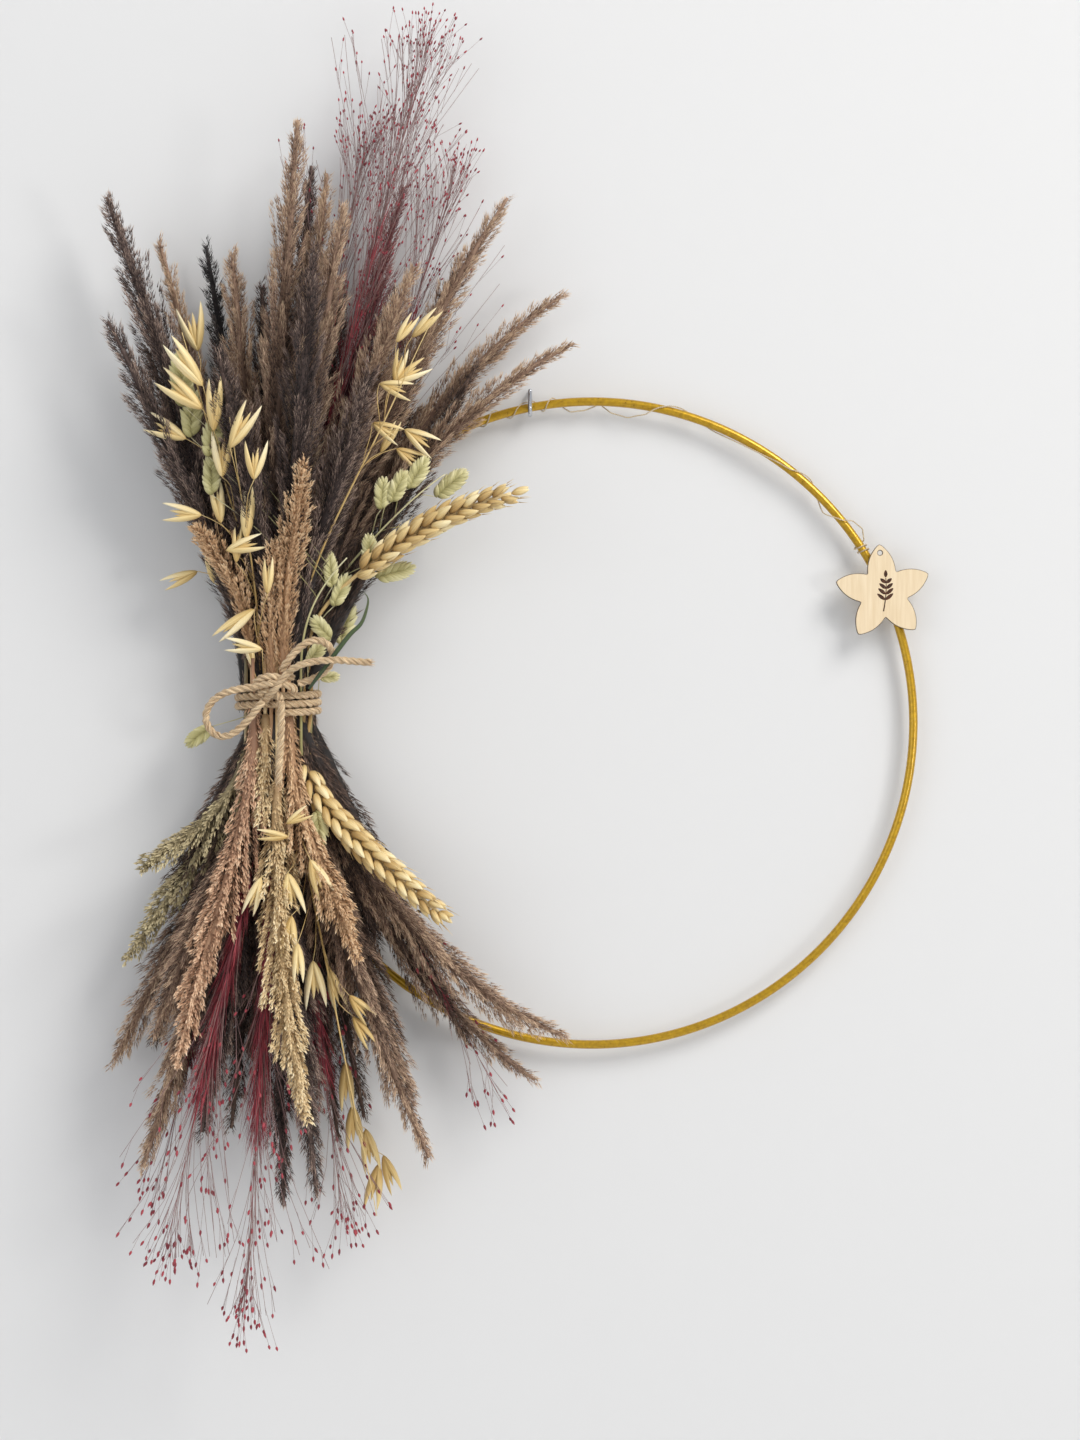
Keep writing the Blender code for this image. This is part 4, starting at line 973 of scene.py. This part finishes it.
# Oats: dry spikelets that hang from thin stalks. Each has two long pale husks, open like a beak,
# round one or two thinner ones. They lie on the bundle's front.
STALK_SIDES = 4
STALK_STEP = 0.004
OAT_STEMS = ("oat_spray_1", "oat_spray_2", "oat_spray_3", "oat_spray_4")
OATS = (  # base's X and Z from the waist, the way it points, length, half opening in degrees
    (-0.0366, 0.1593, -12, 0.023, 15), (-0.0322, 0.1414, -38, 0.027, 6), (-0.0327, 0.1312, -52, 0.026, 9),
    (-0.0405, 0.1183, -66, 0.021, 12), (-0.0274, 0.1211, 1, 0.025, 6), (-0.0239, 0.1006, 0, 0.023, 12),
    (-0.0198, 0.1133, 28, 0.024, 9), (-0.0090, 0.0990, 3, 0.019, 16), (-0.0134, 0.0728, 3, 0.024, 4),
    (-0.0297, 0.0539, 2, 0.026, 9), (-0.0180, 0.0622, 3, 0.017, 5), (-0.0226, 0.0677, 75, 0.019, 10),
    (-0.0101, 0.0414, 232, 0.023, 5), (-0.0064, 0.0230, 278, 0.018, 9), (-0.0037, 0.0479, 2, 0.017, 6),
    (-0.0110, 0.0150, -12, 0.012, 8), (-0.0336, 0.0838, -85, 0.019, 12), (-0.0368, 0.0589, 248, 0.018, 8),
    (-0.0250, 0.0800, -8, 0.020, 7), (0.0615, 0.1644, 45, 0.0185, 5), (0.0548, 0.1616, 34, 0.0160, 7),
    (0.0539, 0.1434, 60, 0.0185, 10), (0.0539, 0.1434, 15, 0.0165, 8), (0.0472, 0.1428, 105, 0.0165, 14),
    (0.0437, 0.1255, 116, 0.0155, 15), (0.0472, 0.1124, 30, 0.0170, 4), (0.0580, 0.1231, 122, 0.0185, 15),
    (0.0543, 0.1144, 120, 0.0155, 15), (0.0050, -0.0560, 60, 0.013, 12), (0.0060, -0.0620, 275, 0.015, 8),
    (-0.0060, -0.0800, 200, 0.019, 8), (0.0060, -0.0780, 170, 0.021, 14), (0.0160, -0.0720, 155, 0.020, 12),
    (0.0080, -0.0970, 185, 0.021, 8), (0.0110, -0.1090, 178, 0.019, 6), (0.0170, -0.1180, 176, 0.023, 12),
    (0.0240, -0.1220, 162, 0.021, 8), (0.0335, -0.1335, 138, 0.016, 12), (0.0350, -0.1430, 147, 0.017, 8),
    (0.0310, -0.1650, 178, 0.023, 6), (0.0340, -0.1850, 176, 0.022, 9), (0.0400, -0.1960, 170, 0.021, 10),
    (0.0460, -0.2120, 190, 0.022, 8), (0.0480, -0.2080, 160, 0.019, 8),
)
OAT_HUSKS = np.array((  # each husk's length, width and thickness, for a spikelet of length 1
    (1, 0.96, 0.78, 0.66), (0.19, 0.19, 0.12, 0.10), (0.13, 0.13, 0.11, 0.09)))
RIPE_BELOW = -0.13  # the lowest ones are riper and darker
oat_lines = {name: stem_line(name) for name in OAT_STEMS}
oat_heaps = {name: Heap() for name in OAT_STEMS}


def add_stalk(heap, points, radius, tone):
    """A thin bent stalk that carries one spikelet."""
    add_tube(heap, smooth_line(points, STALK_STEP), radius, STALK_SIDES, tone)


def heading(turn):
    """A direction in the plane of the wall, in degrees clockwise from up."""
    turn = math.radians(turn)
    return np.array((math.sin(turn), 0.0, math.cos(turn)))


def stalk_to(stem, base, sign):
    """A stalk's points from the stem, 20 mm nearer the waist, to the spikelet's base. Sign is 1 for
    a stem that stands up and -1 for one that hangs."""
    want = base - np.array((0, 0, 0.020 * sign))
    near = stem[np.argmin(((stem - want)[:, [0, 2]] ** 2).sum(1))]
    bend = (near * 0.45 + base * 0.55) + np.array((0, -0.001, 0.003 * sign))
    bend += rng.uniform(-0.0015, 0.0015, 3)
    return np.array((near, near * 0.8 + bend * 0.2 + (0, 0, 0.001 * sign), bend, base))


def on_front(x, z, proud):
    """A point at X and Z from the waist, this far in front of the grass that lies there."""
    base = waist + (x, 0, z)
    base[1] = max(front_at(base[0], base[2]) - proud, FOREMOST + 0.002)
    return base


def gap_to(line, base):
    """How far the line passes from the point, seen from the front."""
    return np.hypot(*(line - base)[:, [0, 2]].T).min()


for name, heap in oat_heaps.items():
    add_tube(heap, oat_lines[name] + (0, 0.004, 0), np.linspace(0.0008, 0.0002, len(oat_lines[name])), 6, 0.3)
for x, z, turn, length, opening in OATS:
    sign = 1 if z > 0 else -1
    base = on_front(x, z, 0.0035)
    same_end = [n for n in OAT_STEMS if (oat_lines[n][-1, 2] > waist[2]) == (sign > 0)]
    name = min(same_end, key=lambda n: gap_to(oat_lines[n], base))
    heap = oat_heaps[name]
    add_stalk(heap, stalk_to(oat_lines[name], base, sign), 0.0002, 0.3)
    way = heading(turn) + (0, rng.uniform(-0.12, 0.08), 0)
    side = heading(turn + 90)
    spread = math.tan(math.radians(opening))
    ways = unit(np.array([
        way + side * spread, way - side * spread, way + side * spread * 0.25, way - side * 0.1]))
    faces = unit(np.array([side * 0.8 + (0, -0.6, 0), -side * 0.8 + (0, -0.6, 0), (0, -1, 0), (0.2, -1, 0)]))
    ripe = 0.55 if z < RIPE_BELOW else 1
    add_husks(heap, np.tile(base, (4, 1)), ways, faces, length * OAT_HUSKS[0], length * OAT_HUSKS[1],
              length * OAT_HUSKS[2], rng.uniform(0.45, 0.98, 4) * (1, 1, 0.6, 0.6) * ripe,
              bow=0.035, fullest=0.75, back=0.5)
OAT_SHADES = ((0.58, 0.43, 0.22), (0.80, 0.66, 0.39), (0.93, 0.83, 0.59), (0.99, 0.94, 0.79))
oat_mat = grass_material("oat_spray", OAT_SHADES, roughness=0.5, tone_share=0.55, streaks=0.45)
for name, heap in oat_heaps.items():
    make_piece(name + "_spikelets", heap, oat_mat, "bundle", [name])

# Quaking grass: flat drop-shaped spikelets on thin stalks. Each is two rows of papery scales that
# overlap like a herringbone, pale green at their roots and straw at their rims.
QUAKING = (  # base's X and Z from the waist, the way it points, length, width
    (0.0251, 0.0513, -4, 0.0165, 0.0070), (0.0258, 0.0426, 24, 0.0160, 0.0078),
    (0.0281, 0.0258, 16, 0.0200, 0.0095), (0.0244, 0.0276, -40, 0.0120, 0.0078),
    (0.0140, 0.0165, 35, 0.0120, 0.0070), (0.0190, 0.0100, 85, 0.0085, 0.0050),
    (0.0474, 0.0866, 5, 0.0140, 0.0080), (0.0520, 0.0900, 25, 0.0150, 0.0085),
    (0.0600, 0.0960, 30, 0.0160, 0.0085), (0.0720, 0.0930, 50, 0.0180, 0.0095),
    (0.0450, 0.0560, 75, 0.0180, 0.0090), (0.0424, 0.0617, -2, 0.0130, 0.0075),
    (-0.0415, 0.1330, -4, 0.0250, 0.0120), (-0.0385, 0.1190, 2, 0.0220, 0.0110),
    (-0.0300, 0.1100, 10, 0.0180, 0.0100), (-0.0290, 0.0930, 0, 0.0190, 0.0090),
    (0.0180, -0.0500, 172, 0.0160, 0.0085), (-0.0300, -0.0120, 235, 0.0140, 0.0080),
    (0.0660, 0.0760, 62, 0.0150, 0.0085),
)
SCALES = 21  # on each spikelet
OLDER_LEFT_OF = -0.025  # the ones on the left are browner
QUAKING_STEMS = ("quaking_grass_1", "quaking_grass_2")
quaking_lines = {name: stem_line(name) for name in QUAKING_STEMS}
quaking_heaps = {name: Heap() for name in QUAKING_STEMS}
for name, heap in quaking_heaps.items():
    add_tube(heap, quaking_lines[name], np.linspace(0.0008, 0.0003, len(quaking_lines[name])), 6, 0.5)
for x, z, turn, length, width in QUAKING:
    sign = 1 if z > 0 else -1
    base = on_front(x, z, 0.0032)
    name = min(QUAKING_STEMS, key=lambda n: gap_to(quaking_lines[n], base))
    heap = quaking_heaps[name]
    add_stalk(heap, stalk_to(quaking_lines[name], base, sign), 0.00022, 0.5)
    up = np.linspace(0, 1, SCALES)
    way, side = heading(turn), heading(turn + 90)
    hand = np.where(np.arange(SCALES) % 2, 1.0, -1.0)
    half = width * (0.34 + 0.66 * np.sin(math.pi * (0.12 + 0.8 * up)) ** 0.8)
    roots = base + way * (length * 0.78 * up)[:, None] - side * (hand * width * 0.06)[:, None]
    roots[:, 1] -= 0.0011 * (1 - up) * 0.4
    ways = unit(way + side * (hand * 0.95 * (1 - 0.75 * up))[:, None] + scatter(SCALES, 0.05))
    faces = unit(np.array((0, -1, 0)) + side * (hand * 0.25)[:, None] - way * 0.25)
    add_husks(heap, roots, ways, faces, half * 0.84 + 0.0010, width * 0.32 * (1 - 0.3 * up), 0.0016,
              rng.uniform(0.25, 0.9, SCALES) - (0.22 if x < OLDER_LEFT_OF else 0), bow=0.10, fullest=0.8,
              back=0.15)
QUAKING_SHADES = ((0.46, 0.43, 0.24), (0.65, 0.62, 0.40), (0.81, 0.78, 0.57), (0.95, 0.92, 0.76))
quaking_mat = grass_material("quaking_grass", QUAKING_SHADES, roughness=0.55, tone_share=0.3, streaks=0.4)
for name, heap in quaking_heaps.items():
    make_piece(name + "_spikelets", heap, quaking_mat, "bundle", [name])

# Red millet: thin stalks that branch again and again and carry a small crimson seed at each end.
# Lower down the head, its crimson filaments lie close together.
MILLET = {  # head's length, length of its longest branches, branches, filaments
    "red_millet_1": (0.225, 0.150, 84, 320), "red_millet_2": (0.200, 0.130, 70, 260),
    "red_millet_4": (0.190, 0.115, 46, 1000), "red_millet_5": (0.215, 0.120, 52, 1300),
    "red_millet_6": (0.180, 0.100, 40, 700),
}
MORE_MILLET = (  # tip's X and Z from the waist, depth from the waist's, then as above
    (0.086, 0.255, 0.006, 0.190, 0.130, 56, 240), (0.066, 0.280, 0.004, 0.200, 0.130, 40, 240),
    (-0.058, -0.235, 0.000, 0.170, 0.090, 24, 900), (0.106, -0.190, 0.004, 0.130, 0.060, 14, 120),
)
SEED = (0.0015, 0.0023)  # its least and greatest length
SEED_WIDTH = 0.0009
MILLET_SHADES = ((0.60, 0.48, 0.46), (0.50, 0.32, 0.34), (0.44, 0.10, 0.16), (0.66, 0.24, 0.28))
millet_mat = grass_material("red_millet", MILLET_SHADES, roughness=0.6, tone_share=0.9)


def add_millet(heap, line, head, longest, branches, filaments):
    """A spray on the line's last part, with a seed at the end of each twig."""
    total = lengths_along(line)[-1]
    head = min(head, total - TAIL - BARE)
    along = lengths_along(line)
    hangs = line[-1, 2] < waist[2]  # the sprays that hang are riper, with fewer and larger seeds
    grain = 1.5 if hangs else 1.0
    add_tube(heap, line, 0.0005 * (1 - 0.9 * along / total), 5, 0.75)
    share = (np.arange(branches) + rng.uniform(0, 1, branches)) / branches
    where = total - head * (1 - 0.86 * share)
    root, tangent, side, depth = at_lengths(line, where)
    for i in range(branches):
        turn = rng.uniform(0, math.tau)
        out = side[i] * math.cos(turn) + depth[i] * math.sin(turn) * 0.5
        lean = math.radians(rng.uniform(3, 21))
        way = unit(tangent[i] * math.cos(lean) + out * math.sin(lean))
        long = min(longest * rng.uniform(0.4, 1.05), (total - where[i]) * 0.97 - 0.010)
        end = root[i] + way * long
        end[1] = np.clip(end[1], FOREMOST + 0.001, -WALL_CLEAR)
        bend = (root[i] + end) / 2 - out * long * 0.05
        branch = np.array((root[i], bend, end))
        add_tube(heap, smooth_line(branch, 0.016), 0.00012, 3, 0.1)
        for at in rng.uniform(0.1, 0.95, rng.integers(2, 4 if hangs else 6)):
            start = bend * (1 - at) + end * at
            twig_way = unit(way + scatter(1, 0.2)[0])
            stop = start + twig_way * rng.uniform(0.006, 0.018)
            stop[1] = np.clip(stop[1], FOREMOST + 0.001, -WALL_CLEAR)
            add_tube(heap, np.array((start, (start + stop) / 2, stop)), 0.00008, 3, 0.15)
            add_husks(heap, stop[None], twig_way[None], np.array([(0.0, -1.0, 0.0)]),
                      grain * rng.uniform(*SEED), grain * SEED_WIDTH, grain * SEED_WIDTH,
                      rng.uniform(0.66, 0.99, 1), back=1.0, shares=(0, 0.25, 0.6, 1), sides=5)
    pick = rng.uniform(0, 0.6, filaments) ** 1.2
    base, tangent, side, depth = at_lengths(line, total - head * (1 - pick))
    turn = rng.uniform(0, math.tau, filaments)[:, None]
    out = side * np.cos(turn) + depth * np.sin(turn)
    base = base + out * (rng.uniform(0, 0.0055, filaments) * (0.4 + pick))[:, None]
    way = unit(tangent + out * 0.12 + scatter(filaments, 0.10))
    base[:, 1] = np.clip(base[:, 1], FOREMOST + 0.003, -WALL_CLEAR - 0.001)
    add_strands(heap, base, way, rng.uniform(0.010, 0.022, filaments), 0.00038, out,
                rng.uniform(0.55, 0.99, filaments))
    note_front(base)


for name, sizes in MILLET.items():
    heap = Heap()
    add_millet(heap, stem_line(name), *sizes)
    make_piece(name + "_seeds", heap, millet_mat, "bundle", [name])
heap = Heap()
for x, z, depth, *sizes in MORE_MILLET:
    add_millet(heap, spray_line(x, z, depth), *sizes)
make_piece("more_millet", heap, millet_mat, "bundle")

# Green blade: one fresh grass leaf, folded along its middle. It curls out of the bundle beside the
# bow's right loop.
BLADE = (  # X and Z from the waist
    (0.0150, 0.0050), (0.0240, 0.0170), (0.0332, 0.0290), (0.0387, 0.0345), (0.0414, 0.0414),
    (0.0419, 0.0460), (0.0400, 0.0488))
BLADE_HALF_WIDTH = 0.0011
blade_line = smooth_line([waist + (x, -0.022 - 0.1 * z, z) for x, z in BLADE], 0.001)
blade_side = unit(np.cross(np.gradient(blade_line, axis=0), (0.0, 1.0, 0.0)))
up = np.linspace(0, 1, len(blade_line))
half = (BLADE_HALF_WIDTH * np.sin(math.pi * (0.15 + 0.84 * up)) ** 0.7)[:, None]
across = np.array((-1, 0, 1, 0))[None, :, None]
fold = np.array((0, 0.0004, 0, 0.00055))[None, :, None] * (0, 1, 0)
points = blade_line[:, None] + blade_side[:, None] * half[:, None] * across + fold
heap = Heap()
rim = np.array((0, 0.5, 1, 0.5))
heap.add(points, grid_faces(len(blade_line), 4), mark(0.5, rim[None], up[:, None]))
heap.add(points[0], [[3, 2, 1, 0]], mark(0.5, rim, 0.01))
heap.add(points[-1], [[0, 1, 2, 3]], mark(0.5, rim, 0.99))
BLADE_SHADES = ((0.16, 0.22, 0.12), (0.24, 0.32, 0.18), (0.33, 0.40, 0.24), (0.52, 0.55, 0.36))
blade_mat = grass_material("green_blade", BLADE_SHADES, roughness=0.5, tone_share=0.5, streaks=0.5)
make_piece("green_blade", heap, blade_mat, "bundle")
